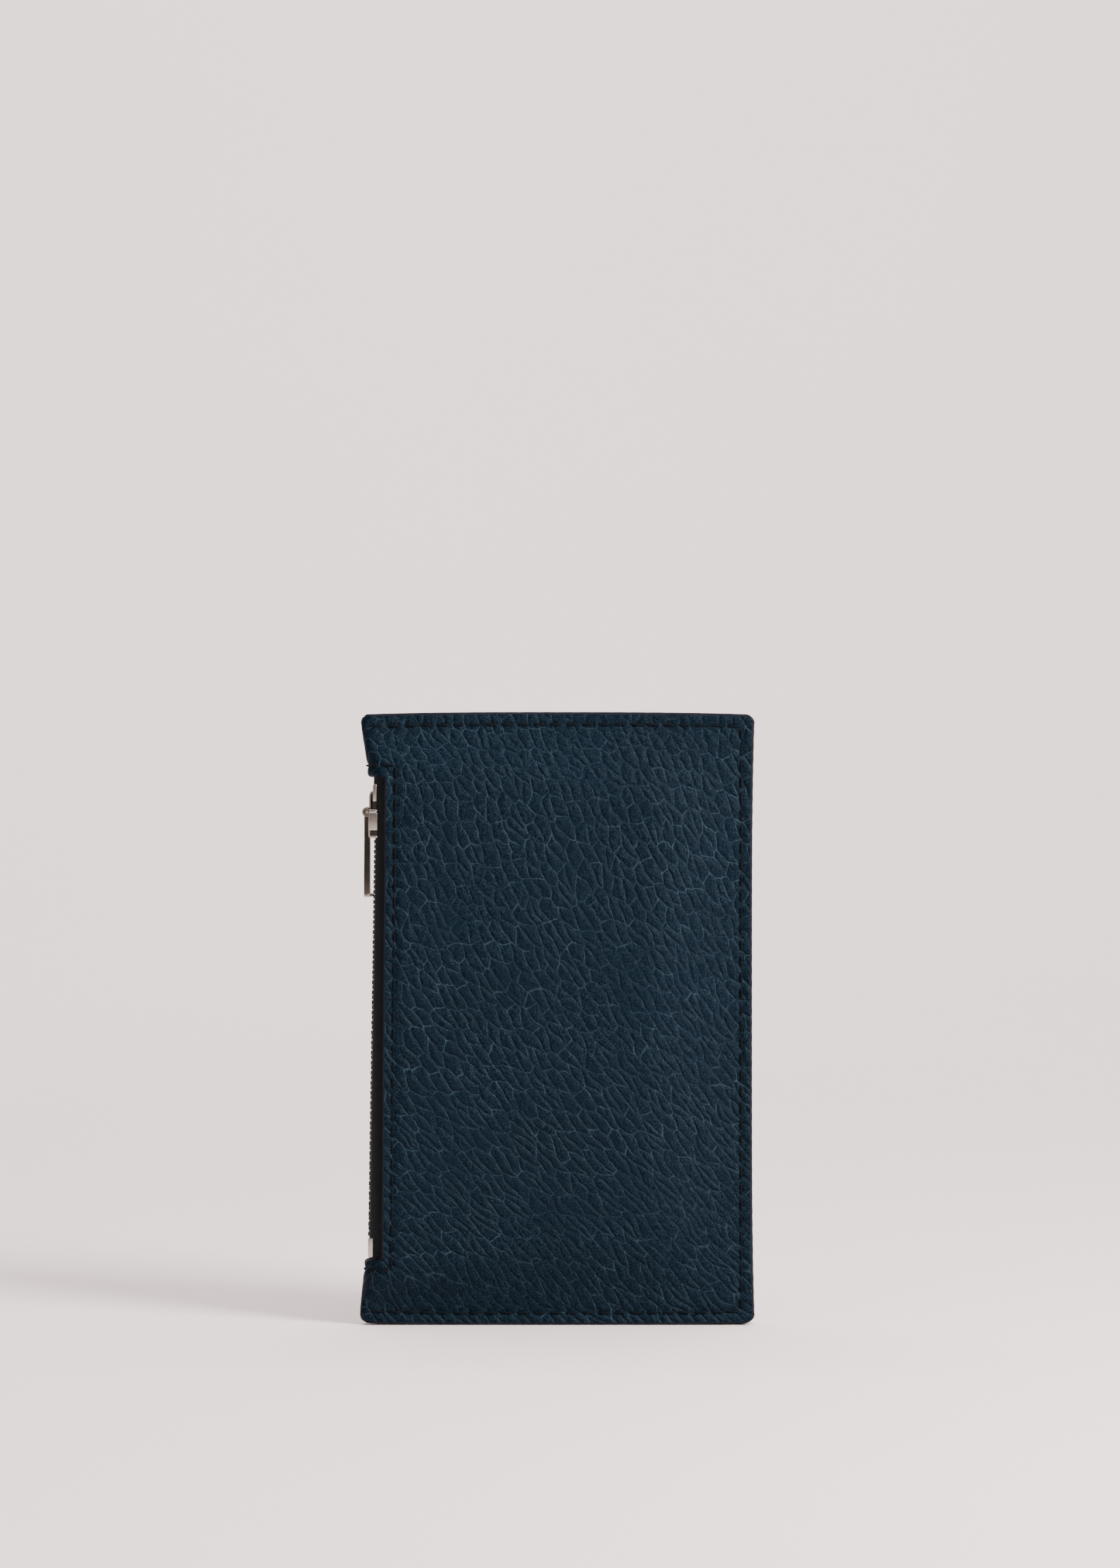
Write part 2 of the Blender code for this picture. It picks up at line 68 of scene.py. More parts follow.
LEATHER_LOW, LEATHER_HIGH = node_box("outer_leather")
LEFT, RIGHT = LEATHER_LOW.x, LEATHER_HIGH.x
HEIGHT = LEATHER_HIGH.z
FOLD_RADIUS = (LEATHER_HIGH.y - LEATHER_LOW.y) / 2
CENTRE_Y = (LEATHER_HIGH.y + LEATHER_LOW.y) / 2
TAPE_LOW, TAPE_HIGH = node_box("zip_tape_front")
TAPE_INSET = 0.3             # the tapes end this far inside the slot
SLOT_BOTTOM = TAPE_LOW.z - TAPE_INSET
SLOT_TOP = TAPE_HIGH.z + TAPE_INSET
TEETH_TOP = node_box("zip_teeth_front")[1].z

# Sizes that repeat the part's own design.
LEATHER = 1.2
LINING = 0.3
PANEL = 0.55
GAP = 0.2
PANEL_STEP = GAP + PANEL
PANEL_MOUTHS = [node_box(f"card_slot_panel_{k}")[0].x for k in (1, 2, 3)]
EDGE_HALF = (LEATHER * 2 + LINING * 2 + GAP * 3) / 2
SEAM_FLAT = 3.0
RISE_AT_FOLD = 9.0
RISE_AT_RIGHT = 20.0
TAPE_SEWN_EDGE = TAPE_HIGH.x
SLOT_EDGE_TOP = -35.3
SLOT_EDGE_BOTTOM = -35.85

# How the worn, sewn leather differs from its nominal outline.
SLOT_CORNER = 1.5
PAINT = 0.2                  # thickness of the paint on the cut edges
EDGE_PAINT_LAP = 0.45        # how far it laps onto the face
SLOT_PAINT_LAP = 0.52
CORNER_RADIUS = 2.0
FOLD_CORNER = 1.7
DRAW_IN_TOP = 1.5            # how far the fold is drawn in towards the slot
DRAW_IN_BOTTOM = 0.9
RIGHT_HOLLOW = 0.55          # how far the right side bows in at mid height
TOP_CROWN = 0.5              # how far the top drops towards its corners
BASE_CROWN = 0.35

LINING_END = 0.6             # how far the linings stop short of the top and base
LINING_SIDE = 1.0            # and of the right side

STITCH_PITCH = 3.35
STITCH_SHARE = 0.74          # share of the pitch that shows as thread
THREAD_RADIUS = 0.24
STITCH_SINK = 0.10           # how far the thread lies in its groove
STITCH_DIVE = 0.42           # how much deeper it goes at its holes
SEAM_INSET = 2.55
SEAM_START_TOP = 2.0         # where the edge seam starts, in from the fold
SEAM_START_BOTTOM = 1.9
SLOT_SEAM_TOP = 2.45         # distance of the slot's seam from its edge
SLOT_SEAM_BOTTOM = 2.1


def smooth(value):
    t = np.clip(value, 0.0, 1.0)
    return t * t * (3 - 2 * t)


def fullness(x, z):
    """0 at the seams and 1 where the layers stand fully apart."""
    toward_right = np.maximum((x - TAPE_SEWN_EDGE) / (RIGHT - TAPE_SEWN_EDGE), 0.0)
    rise = RISE_AT_FOLD + (RISE_AT_RIGHT - RISE_AT_FOLD) * toward_right
    along = smooth((np.minimum(z, HEIGHT - z) - SEAM_FLAT) / rise)
    across = smooth((RIGHT - x - SEAM_FLAT) / RISE_AT_RIGHT)
    return along * across


def between(at_seam, at_middle, x, z):
    return at_seam + (at_middle - at_seam) * fullness(x, z)


def round_off(distance, radius):
    """How far a rounded corner stands back at a distance from its end."""
    near = np.clip(radius - distance, 0.0, radius)
    return radius - np.sqrt(np.maximum(radius * radius - near * near, 0.0))


def fold_left(z):
    from_end = np.minimum(z, HEIGHT - z)
    draw_in = np.where(z > HEIGHT / 2, DRAW_IN_TOP, DRAW_IN_BOTTOM)
    return LEFT + draw_in * smooth(from_end / SLOT_BOTTOM) + round_off(from_end, FOLD_CORNER)


def right_edge(z):
    bow = RIGHT_HOLLOW * (1 - ((z - HEIGHT / 2) / (HEIGHT / 2)) ** 4)
    return RIGHT - bow - round_off(np.minimum(z, HEIGHT - z), CORNER_RADIUS)


def crowned(x, z):
    """Height of a nominal height z, once the top and base bow at their corners."""
    aside = np.abs(x) / RIGHT
    top = TOP_CROWN * aside ** 3 * np.clip(z / (HEIGHT / 2) - 1, 0, 1)
    base = BASE_CROWN * aside ** 4 * np.clip(1 - z / (HEIGHT / 2), 0, 1)
    return z - top + base


def slot_edge(z):
    t = (z - SLOT_BOTTOM) / (SLOT_TOP - SLOT_BOTTOM)
    return SLOT_EDGE_BOTTOM + (SLOT_EDGE_TOP - SLOT_EDGE_BOTTOM) * t


def slot_seam(z):
    t = (z - SLOT_BOTTOM) / (SLOT_TOP - SLOT_BOTTOM)
    return slot_edge(z) + SLOT_SEAM_BOTTOM + (SLOT_SEAM_TOP - SLOT_SEAM_BOTTOM) * t


def half_depth(x, z):
    return between(EDGE_HALF, FOLD_RADIUS, x, z)


def fold_centre(z):
    return fold_left(z) + half_depth(LEFT, z)


def sheet_y(x, z, side):
    """Outer face of the folded sheet: side is -1 on the front and 1 on the back."""
    half = half_depth(x, z)
    into_fold = np.clip(fold_centre(z) - x, 0.0, half)
    return CENTRE_Y + side * np.sqrt(np.maximum(half * half - into_fold * into_fold, 0.0))


def back_y(x, z, panels=3):
    """Outermost face at the back, with the card slot panels that cover this place."""
    y = sheet_y(x, z, 1)
    for mouth in PANEL_MOUTHS[:panels]:
        y = y + PANEL_STEP * smooth((x - mouth) / 0.6 + 0.5)
    return y


# Meshes ---------------------------------------------------------------

def linked(name, data):
    """A new object with this data, in the scene."""
    obj = bpy.data.objects.new(name, data)
    bpy.context.scene.collection.objects.link(obj)
    return obj


def add_object(name, verts, faces, materials, indices=None):
    mesh = bpy.data.meshes.new(name)
    mesh.from_pydata([tuple(v) for v in np.asarray(verts) * MM], [], [tuple(f) for f in faces])
    for mat in materials:
        mesh.materials.append(mat)
    if indices is not None:
        mesh.polygons.foreach_set("material_index", np.asarray(indices, np.int32))
    mesh.validate()
    mesh.update()
    mesh.shade_smooth()
    mesh.set_sharp_from_angle(angle=math.radians(SHARP_DEGREES))
    return linked(name, mesh)


def grid_normals(points):
    """Unit normals of a grid of points, one for each point."""
    along_u = np.gradient(points, axis=0)
    along_v = np.gradient(points, axis=1)
    normal = np.cross(along_u, along_v)
    return normal / np.maximum(np.linalg.norm(normal, axis=2, keepdims=True), 1e-9)


def whole(points):
    """A mask that keeps every face of a grid of points."""
    return np.ones((points.shape[0] - 1, points.shape[1] - 1), bool)


def shell(name, outer, inner, keep, face_mat, rim_mat, rimmed=None):
    """A closed skin between two grids of points, with holes where keep is False.

    The outer faces where rimmed is True have the rim's material too.
    """
    nu, nv = outer.shape[:2]
    ids = np.arange(nu * nv).reshape(nu, nv)
    low = ids + nu * nv
    faces, indices = [], []

    def add(quad, index):
        faces.append(quad)
        indices.append(index)

    for i in range(nu - 1):
        for j in range(nv - 1):
            if not keep[i, j]:
                continue
            a, b, c, d = ids[i, j], ids[i + 1, j], ids[i + 1, j + 1], ids[i, j + 1]
            e, f, g, h = low[i, j], low[i + 1, j], low[i + 1, j + 1], low[i, j + 1]
            add((a, b, c, d), int(rimmed is not None and rimmed[i, j]))
            add((h, g, f, e), 0)
            if j == 0 or not keep[i, j - 1]:
                add((a, e, f, b), 1)
            if j == nv - 2 or not keep[i, j + 1]:
                add((c, g, h, d), 1)
            if i == 0 or not keep[i - 1, j]:
                add((d, h, e, a), 1)
            if i == nu - 2 or not keep[i + 1, j]:
                add((b, f, g, c), 1)
    verts = np.concatenate([outer.reshape(-1, 3), inner.reshape(-1, 3)])
    used = np.unique(np.array(faces))
    renumber = np.zeros(len(verts), int)
    renumber[used] = np.arange(len(used))
    return add_object(name, verts[used], renumber[np.array(faces)], [face_mat, rim_mat], indices)


def stations(length, step, fine=(0.0, 0.07, 0.16, 0.3, 0.5, 0.8)):
    """Places from 0 to length, close together at both ends, as shares of the length."""
    count = max(int(round((length - 2 * fine[-1]) / step)), 1)
    middle = np.linspace(fine[-1], length - fine[-1], count + 1)[1:-1]
    ends = np.array(fine)
    return np.concatenate([ends, middle, length - ends[::-1]]) / length


def tube_faces(rings, sides):
    """Faces of a closed tube of this many rings of points, capped at both ends."""
    faces = []
    for k in range(rings - 1):
        here, there = k * sides, (k + 1) * sides
        for s in range(sides):
            t = (s + 1) % sides
            faces.append((here + s, here + t, there + t, there + s))
    faces.append(tuple(reversed(range(sides))))
    faces.append(tuple(range((rings - 1) * sides, rings * sides)))
    return faces


def tube(points, radius, sides=8, taper=None):
    """Points and faces of a closed round tube through a list of points."""
    points = [Vector(p) for p in points]
    verts = []
    for k, point in enumerate(points):
        ahead = points[min(k + 1, len(points) - 1)] - points[max(k - 1, 0)]
        turn = ahead.to_track_quat("Z", "Y")
        size = radius * (taper[k] if taper else 1.0)
        for s in range(sides):
            angle = 2 * math.pi * s / sides
            aside = Vector((math.cos(angle) * size, math.sin(angle) * size, 0))
            verts.append(point + turn @ aside)
    return verts, tube_faces(len(points), sides)


def gather(parts):
    """Join lists of (verts, faces) into one."""
    verts, faces = [], []
    for some_verts, some_faces in parts:
        start = len(verts)
        verts += [tuple(v) for v in some_verts]
        faces += [tuple(index + start for index in face) for face in some_faces]
    return verts, faces


# Materials ------------------------------------------------------------

class Nodes:
    """Short forms for the nodes that the materials are made of."""

    def __init__(self, name):
        self.material = bpy.data.materials.new(name)
        self.material.use_nodes = True
        self.tree = self.material.node_tree
        self.shader = self.tree.nodes["Principled BSDF"]
        self.place = self.add("ShaderNodeTexCoord").outputs["Object"]

    def add(self, kind, inputs=None, **settings):
        node = self.tree.nodes.new(kind)
        for key, value in settings.items():
            setattr(node, key, value)
        for key, value in (inputs or {}).items():
            self.set(node.inputs[key], value)
        return node

    def set(self, socket, value):
        if isinstance(value, bpy.types.NodeSocket):
            self.tree.links.new(value, socket)
        else:
            socket.default_value = value

    def math(self, operation, a, b=0.0, plus=0.0, clamp=False):
        return self.add("ShaderNodeMath", {0: a, 1: b, 2: plus}, operation=operation,
                        use_clamp=clamp).outputs[0]

    def noise(self, scale, detail=4.0, rough=0.55, vector=None):
        inputs = {"Scale": scale, "Detail": detail, "Roughness": rough,
                  "Vector": vector or self.place}
        return self.add("ShaderNodeTexNoise", inputs).outputs["Fac"]

    def scaled(self, scale):
        inputs = {"Scale": scale, "Vector": self.place}
        return self.add("ShaderNodeMapping", inputs).outputs["Vector"]

    def moved(self, vector, offset):
        return self.add("ShaderNodeVectorMath", {0: vector, 1: offset},
                        operation="ADD").outputs[0]

    def leaning(self, vector, slope_at_base, slope_at_top, length):
        """Flat coordinates of a pattern drawn out along a lean that eases from base to top.

        Depth is mixed in, so that the pattern runs on round the fold and over the edges.
        """
        x, y, z = self.add("ShaderNodeSeparateXYZ", {0: vector}).outputs
        curl = (slope_at_top - slope_at_base) / (2 * HEIGHT * MM)
        slope = self.math("MULTIPLY_ADD", z, curl, plus=slope_at_base)
        aside = self.math("ADD", self.math("ADD", x, y), self.math("MULTIPLY", z, slope))
        along = self.math("MULTIPLY_ADD", z, 1 / length, plus=self.math("MULTIPLY", y, 0.7))
        return self.add("ShaderNodeCombineXYZ", {0: aside, 1: along}).outputs[0]

    def mix(self, factor, a, b):
        node = self.add("ShaderNodeMix", {"Factor": factor}, data_type="RGBA")
        for socket, value in ((node.inputs["A"], a), (node.inputs["B"], b)):
            self.set(socket, (*value, 1.0) if isinstance(value, tuple) else value)
        return node.outputs["Result"]

    def bump(self, height, strength, distance, normal=None):
        inputs = {"Strength": strength, "Distance": distance, "Height": height}
        if normal is not None:
            inputs["Normal"] = normal
        return self.add("ShaderNodeBump", inputs).outputs["Normal"]

    def finish(self, **sockets):
        names = {"color": "Base Color", "roughness": "Roughness", "metallic": "Metallic",
                 "normal": "Normal", "specular": "Specular IOR Level", "sheen": "Sheen Weight",
                 "sheen_roughness": "Sheen Roughness"}
        for key, value in sockets.items():
            if isinstance(value, tuple):
                value = (*value, 1.0)
            self.set(self.shader.inputs[names[key]], value)
        return self.material


def shifted(n, scale, amount):
    """The object's own coordinates, pushed about by noise."""
    warp = n.add("ShaderNodeTexNoise", {"Scale": scale, "Detail": 2.0, "Vector": n.place})
    centred = n.add("ShaderNodeVectorMath", {0: warp.outputs["Color"], 1: (0.5, 0.5, 0.5)},
                    operation="SUBTRACT")
    push = n.add("ShaderNodeVectorMath", {0: centred.outputs[0], "Scale": amount},
                 operation="SCALE")
    return n.moved(n.place, push.outputs[0])


def cell_edges(n, vector, cell):
    """Distance to the nearest crease, in cells, of a flat pattern with cells of this size."""
    inputs = {"Scale": 1.0 / cell, "Randomness": 0.78, "Vector": vector}
    return n.add("ShaderNodeTexVoronoi", inputs, feature="DISTANCE_TO_EDGE",
                 voronoi_dimensions="2D").outputs["Distance"]


def eased(n, value, begin, end):
    inputs = {"From Min": begin, "From Max": end, "Value": value}
    return n.add("ShaderNodeMapRange", inputs, interpolation_type="SMOOTHERSTEP").outputs["Result"]


CREASE_REACH = 0.000045      # half a shift along the lean that fades the creases across it


def crease_line(n, turned, cell):
    """1 on the fine creases that run along the lean, and less on those across it."""
    line = 1.0
    for step in (-CREASE_REACH, CREASE_REACH):
        near = cell_edges(n, n.moved(turned, (0, step, 0)), cell)
        line = n.math("MULTIPLY", line, n.math("SUBTRACT", 1.0, eased(n, near, 0.0, 0.070)))
    return line


def leather_material(name, base, crease, cell):
    """Tumbled grain: dark cells drawn out along one diagonal, with fine pale creases between."""
    n = Nodes(name)
    turned = n.leaning(shifted(n, 190.0, 0.0018), 1.0, 0.22, 1.75)
    cross_turned = n.leaning(shifted(n, 260.0, 0.0016), 0.35, 0.0, 1.2)
    big = cell_edges(n, turned, cell)
    small = cell_edges(n, cross_turned, cell * 0.80)
    patch = n.noise(60.0, 2.0)
    strength = eased(n, patch, 0.28, 0.72)
    broken = eased(n, n.noise(420.0, 3.0), 0.36, 0.66)
    pillow = n.math("POWER", eased(n, big, 0.0, 0.40), 0.7)
    pebble = eased(n, small, 0.0, 0.34)
    grit = n.noise(4300.0, 3.0, 0.65)
    relief = n.math("ADD", n.math("MULTIPLY", pillow, n.math("ADD", patch, 0.25)),
                    n.math("MULTIPLY", pebble, n.math("MULTIPLY", broken, 0.42)))
    relief = n.math("ADD", relief, n.math("MULTIPLY", n.noise(1500.0, 3.0), 0.20))
    coarse = n.bump(relief, 1.0, 0.00025)
    pores = n.bump(grit, 0.75, 0.00009, coarse)
    line = crease_line(n, turned, cell)
    faint = n.math("SUBTRACT", 1.0, eased(n, small, 0.0, 0.060))
    worn = n.math("MULTIPLY", line, n.math("MULTIPLY_ADD", strength, 0.55, plus=0.46))
    worn = n.math("MULTIPLY", worn, n.math("MULTIPLY_ADD", broken, 0.75, plus=0.40))
    worn = n.math("ADD", worn, n.math("MULTIPLY", faint, n.math("MULTIPLY", broken, 0.17)))
    speckle = n.math("MULTIPLY", eased(n, grit, 0.44, 0.66), 0.38)
    worn = n.math("ADD", worn, speckle, clamp=True)
    tone = n.mix(n.noise(38.0, 3.0), tuple(0.75 * c for c in base), tuple(1.30 * c for c in base))
    color = n.mix(worn, tone, crease)
    rough = n.math("MULTIPLY_ADD", n.noise(420.0, 3.0), 0.20, plus=0.40)
    return n.finish(color=color, roughness=rough, normal=pores, specular=0.036)


def paint_material():
    n = Nodes("edge_paint")
    color = n.mix(n.noise(240.0), (0.0070, 0.0075, 0.0115), (0.0150, 0.0140, 0.0195))
    normal = n.bump(n.noise(1500.0), 0.35, 0.00008)
    return n.finish(color=color, roughness=0.75, normal=normal, specular=0.03)


def weave_material(name, dark, light, pitch):
    n = Nodes(name)
    inputs = {"Scale": 0.5 / pitch, "Distortion": 0.6, "Detail": 1.0, "Vector": n.place}
    across, along = [n.add("ShaderNodeTexWave", inputs, bands_direction=way).outputs["Fac"]
                     for way in ("Z", "DIAGONAL")]
    threads = n.math("MULTIPLY", across, along)
    fibres = n.noise(4200.0, 3.0)
    height = n.math("ADD", threads, n.math("MULTIPLY", fibres, 0.5))
    color = n.mix(n.math("MULTIPLY", threads, n.noise(500.0)), dark, light)
    return n.finish(color=color, roughness=0.9, specular=0.2,
                    normal=n.bump(height, 0.6, 0.00012), sheen=0.12, sheen_roughness=0.5)


def metal_material(name, dark, light, roughness):
    n = Nodes(name)
    color = n.mix(n.noise(160.0, 2.0), dark, light)
    brushed = n.noise(900.0, 2.0, vector=n.scaled((1, 1, 0.15)))
    rough = n.math("MULTIPLY_ADD", brushed, 0.08, plus=roughness)
    return n.finish(color=color, metallic=1.0, roughness=rough,
                    normal=n.bump(n.noise(700.0, 3.0), 0.12, 0.00005))


def plain_material(name, dark, light, roughness, scale=900.0, specular=0.5):
    n = Nodes(name)
    color = n.mix(n.noise(scale), dark, light)
    return n.finish(color=color, roughness=roughness, specular=specular,
                    normal=n.bump(n.noise(scale * 2), 0.3, 0.00008))


LEATHER_MAT = leather_material("navy_leather", (0.0005, 0.0041, 0.0088),
                               (0.0220, 0.0375, 0.0515), 0.00240)
PAINT_MAT = paint_material()
LINING_MAT = weave_material("lining_cloth", (0.035, 0.030, 0.028), (0.075, 0.066, 0.060), 0.00035)
BOARD_MAT = plain_material("bonded_board", (0.24, 0.19, 0.13), (0.36, 0.29, 0.21), 0.9, 400.0)
TAPE_MAT = weave_material("tape_weave", (0.0025, 0.0035, 0.0050), (0.010, 0.012, 0.015), 0.00042)
TEETH_MAT = plain_material("black_teeth", (0.0035, 0.0040, 0.0050), (0.010, 0.011, 0.013), 0.38,
                           specular=0.35)
NICKEL_MAT = metal_material("polished_nickel", (0.36, 0.315, 0.28), (0.45, 0.40, 0.36), 0.24)
# A darker copy of the polished nickel: painted shade that stands in for the dark reflections on the
# puller bar and the ear rolls.
PAINTED_SHADE_NICKEL_MAT = metal_material("shaded_nickel", (0.10, 0.085, 0.070), (0.20, 0.17, 0.14), 0.22)
# A near-black steel: painted shade for the slider's recessed core.
SHADED_STEEL_MAT = metal_material("shaded_steel", (0.020, 0.018, 0.016), (0.050, 0.043, 0.038), 0.4)
STEEL_MAT = metal_material("spring_steel", (0.42, 0.42, 0.43), (0.55, 0.55, 0.56), 0.3)
THREAD_MAT = plain_material("waxed_thread", (0.0008, 0.0013, 0.0022), (0.0028, 0.0045, 0.0070),
                            0.7, 2400.0, specular=0.08)


# Seams ----------------------------------------------------------------

def pitch_for(length):
    """The stitch pitch that fills a seam of this length."""
    return length / max(round(length / STITCH_PITCH), 1)


def seam_dent(along, across, begin, end):
    """Relief of a lockstitch seam at places given along it and across it, in millimetres."""
    pitch = pitch_for(end - begin)
    phase = np.mod(along - begin, pitch) / pitch
    lying = smooth((STITCH_SHARE / 2 + 0.05 - np.abs(phase - 0.5)) / 0.10)
    near = np.exp(-(across / 0.48) ** 2)
    wide = np.exp(-(across / 1.15) ** 2)
    inside = smooth((along - begin) / 0.6 + 0.5) * smooth((end - along) / 0.6 + 0.5)
    hole = np.exp(-((np.minimum(phase, 1 - phase) * pitch) / 0.24) ** 2)
    pull = -0.10 * wide - 0.30 * near * lying
    pinch = 0.10 * np.exp(-(across / 0.62) ** 2) * (1 - lying) - 0.16 * near * hole
    return (pull + pinch) * inside


def perimeter_points():
    """Corners of the seam round the three cut sides, as (x, z)."""
    top, bottom = HEIGHT - SEAM_INSET, SEAM_INSET
    right = RIGHT - RIGHT_HOLLOW * 0.5 - SEAM_INSET
    return [(LEFT + SEAM_START_TOP, top), (right, top), (right, bottom),
            (LEFT + SEAM_START_BOTTOM, bottom)]


def perimeter_relief(x, z):
    corners = perimeter_points()
    relief = np.zeros_like(x)
    for (x0, z0), (x1, z1) in zip(corners, corners[1:]):
        length = math.hypot(x1 - x0, z1 - z0)
        ux, uz = (x1 - x0) / length, (z1 - z0) / length
        along = (x - x0) * ux + (z - z0) * uz
        across = (x - x0) * uz - (z - z0) * ux
        relief = relief + seam_dent(along, across, 0.0, length)
    return relief


def slot_relief(x, z, turn):
    """Seam round the slot: turn is 0 on the front and 1 on the back, between them on the fold."""
    top, bottom = SLOT_TOP + SLOT_SEAM_TOP, SLOT_BOTTOM - SLOT_SEAM_BOTTOM
    upright = seam_dent(z, (x - slot_seam(z)), bottom, top)
    on_face = (turn <= 0.02) | (turn >= 0.98)
    relief = np.where(on_face, upright, 0.0)
    half = half_depth(LEFT, z)
    round_fold = half * np.minimum(turn, 1 - turn) * math.pi + 2.0
    outward = np.where(on_face, slot_seam(z) - x, round_fold)
    for height in (top, bottom):
        relief = relief + seam_dent(outward, z - height, 0.0, 40.0) * (outward > -0.3)
    return relief


def stitch(place, start, end):
    """One thread stitch that dives into the leather at both ends."""
    points, taper = [], []
    for t in np.linspace(0, 1, 9):
        lift = -STITCH_SINK - STITCH_DIVE * abs(2 * t - 1) ** 5
        points.append(place(float(start + (end - start) * t), float(lift)))
        taper.append(float(1.0 - 0.25 * abs(2 * t - 1) ** 3))
    return tube(points, THREAD_RADIUS, 8, taper)


def stitches_along(place, length):
    pitch = pitch_for(length)
    reach = pitch * STITCH_SHARE / 2
    middles = np.arange(pitch / 2, length, pitch)
    return [stitch(place, middle - reach, middle + reach) for middle in middles]


def face_place(x0, z0, x1, z1, side):
    """Maps a distance along a straight seam and a lift to a point on the front or back."""
    length = math.hypot(x1 - x0, z1 - z0)

    def place(along, lift):
        t = along / length
        x, z = x0 + (x1 - x0) * t, z0 + (z1 - z0) * t
        y = float(sheet_y(x, z, -1)) - lift if side < 0 else float(back_y(x, z)) + lift
        return (x, y, float(crowned(x, z)))

    return place, length


def perimeter_stitches(side):
    corners = perimeter_points()
    parts = []
    for (x0, z0), (x1, z1) in zip(corners, corners[1:]):
        place, length = face_place(x0, z0, x1, z1, side)
        parts += stitches_along(place, length)
    return parts


def fold_place(z):
    """Maps a distance round the fold from the slot's seam and a lift to a point."""
    half = float(half_depth(LEFT, z))
    centre = float(fold_centre(z))
    flat = centre - float(slot_seam(z))

    def place(along, lift):
        reach = half + lift
        angle = min(max((along + flat) / half, 0.0), math.pi)
        past = max(-flat - along, along + flat - math.pi * half, 0.0)
        x = centre - reach * math.sin(angle) + past
        return (x, CENTRE_Y - reach * math.cos(angle), float(crowned(x, z)))

    return place, math.pi * half - 2 * flat


def slot_stitches():
    top, bottom = SLOT_TOP + SLOT_SEAM_TOP, SLOT_BOTTOM - SLOT_SEAM_BOTTOM
    parts = []
    for side in (-1, 1):
        place, length = face_place(float(slot_seam(bottom)), bottom, float(slot_seam(top)), top,
                                   side)
        parts += stitches_along(place, length)
    for height in (top, bottom):
        place, length = fold_place(height)
        parts += stitches_along(place, length)
    return parts


# Leather --------------------------------------------------------------

def wobble(x, y, z, size, seed):
    """Slow unevenness of hand-sewn leather, from -1 to 1."""
    values = [noise.noise(Vector((a / size + seed, b / size, c / size)))
              for a, b, c in zip(x.ravel(), y.ravel(), z.ravel())]
    return np.array(values).reshape(x.shape)


def row_heights():
    """Nominal heights of the grid's rows, with lines at the slot's ends."""
    parts = []
    limits = [PAINT, SLOT_BOTTOM, SLOT_TOP, HEIGHT - PAINT]
    for low, high in zip(limits, limits[1:]):
        places = low + (high - low) * stations(high - low, 0.55)
        parts.append(places[:-1])
    parts.append([limits[-1]])
    return np.concatenate(parts)


def leather_points():
    """Outer points of the folded sheet, with each point's turn round the fold from 0 to 1."""
    rows = row_heights()
    inside = (rows > SLOT_BOTTOM - 1e-6) & (rows < SLOT_TOP + 1e-6)
    from_end = np.minimum(np.abs(rows - SLOT_BOTTOM), np.abs(rows - SLOT_TOP))
    corner = np.where(inside, round_off(from_end, SLOT_CORNER),
                      SLOT_CORNER * (1 - smooth(from_end / 3.0)))
    start = slot_edge(rows) - corner
    end = right_edge(rows) - PAINT
    front = stations(75.0, 0.5)
    back = stations(75.0, 0.8)
    fold = np.linspace(0, 1, 27)[1:-1]
    centre, half = fold_centre(rows), half_depth(LEFT, rows)
    first = np.arcsin(np.clip((centre - start) / half, 0, 1))
    columns, turns = [], []

    def add_face(shares, side, turn):
        for t in shares:
            x = start + (end - start) * t
            columns.append(np.stack([x, sheet_y(x, rows, side), rows], 1))
            turns.append(np.full_like(rows, turn))

    add_face(front[::-1], -1, 0.0)
    for t in fold:
        angle = first + (math.pi - 2 * first) * t
        x = centre - half * np.sin(angle)
        columns.append(np.stack([x, CENTRE_Y - half * np.cos(angle), rows], 1))
        turns.append(np.full_like(rows, t))
    add_face(back, 1, 1.0)
    split = (len(front), len(front) + len(fold))
    return np.array(columns), np.array(turns), rows, split


def make_leather():
    points, turns, rows, (fold_begin, fold_end) = leather_points()
    x, y, z = points[..., 0], points[..., 1], points[..., 2]
    normal = -grid_normals(points)
    if normal[5, len(rows) // 2, 1] > 0:
        normal = -normal
    on_face = (turns < 0.01) | (turns > 0.99)
    relief = np.where(on_face, perimeter_relief(x, z), 0.0)
    relief += slot_relief(x, z, turns)
    relief += 0.10 * wobble(x, y, z, 9.0, 3.0) + 0.16 * wobble(x, y, z, 24.0, 7.0)
    edge = np.minimum(np.minimum(rows - PAINT, HEIGHT - PAINT - rows)[None, :],
                      right_edge(z) - PAINT - x)
    in_slot_rows = (z > SLOT_BOTTOM - 0.01) & (z < SLOT_TOP + 0.01)
    from_slot = np.where(in_slot_rows, x - slot_edge(z), 9.0)
    on_fold = ~on_face
    ends = np.minimum(np.abs(z - SLOT_BOTTOM), np.abs(z - SLOT_TOP))
    from_slot = np.where(on_fold, ends, np.maximum(from_slot, 0.0))
    relief -= round_off(np.maximum(edge, 0), 0.35)
    relief -= np.where(on_fold, round_off(from_slot, 0.9), round_off(from_slot, 0.40))
    outer = points + normal * relief[..., None]
    inner = points - normal * LEATHER
    for grid in (outer, inner):
        grid[..., 2] = crowned(grid[..., 0], grid[..., 2])
    keep = whole(outer)
    slot_rows = (rows[:-1] > SLOT_BOTTOM - 1e-6) & (rows[1:] < SLOT_TOP + 1e-6)
    keep[fold_begin - 1:fold_end, slot_rows] = False
    close = (edge < EDGE_PAINT_LAP) | (in_slot_rows & on_face & (from_slot < SLOT_PAINT_LAP))
    rimmed = close[:-1, :-1] & close[1:, :-1] & close[:-1, 1:] & close[1:, 1:]
    leather = shell("leather_cover", outer, inner, keep, LEATHER_MAT, PAINT_MAT, rimmed)
    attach(leather, "holder")
    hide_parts("outer_leather")


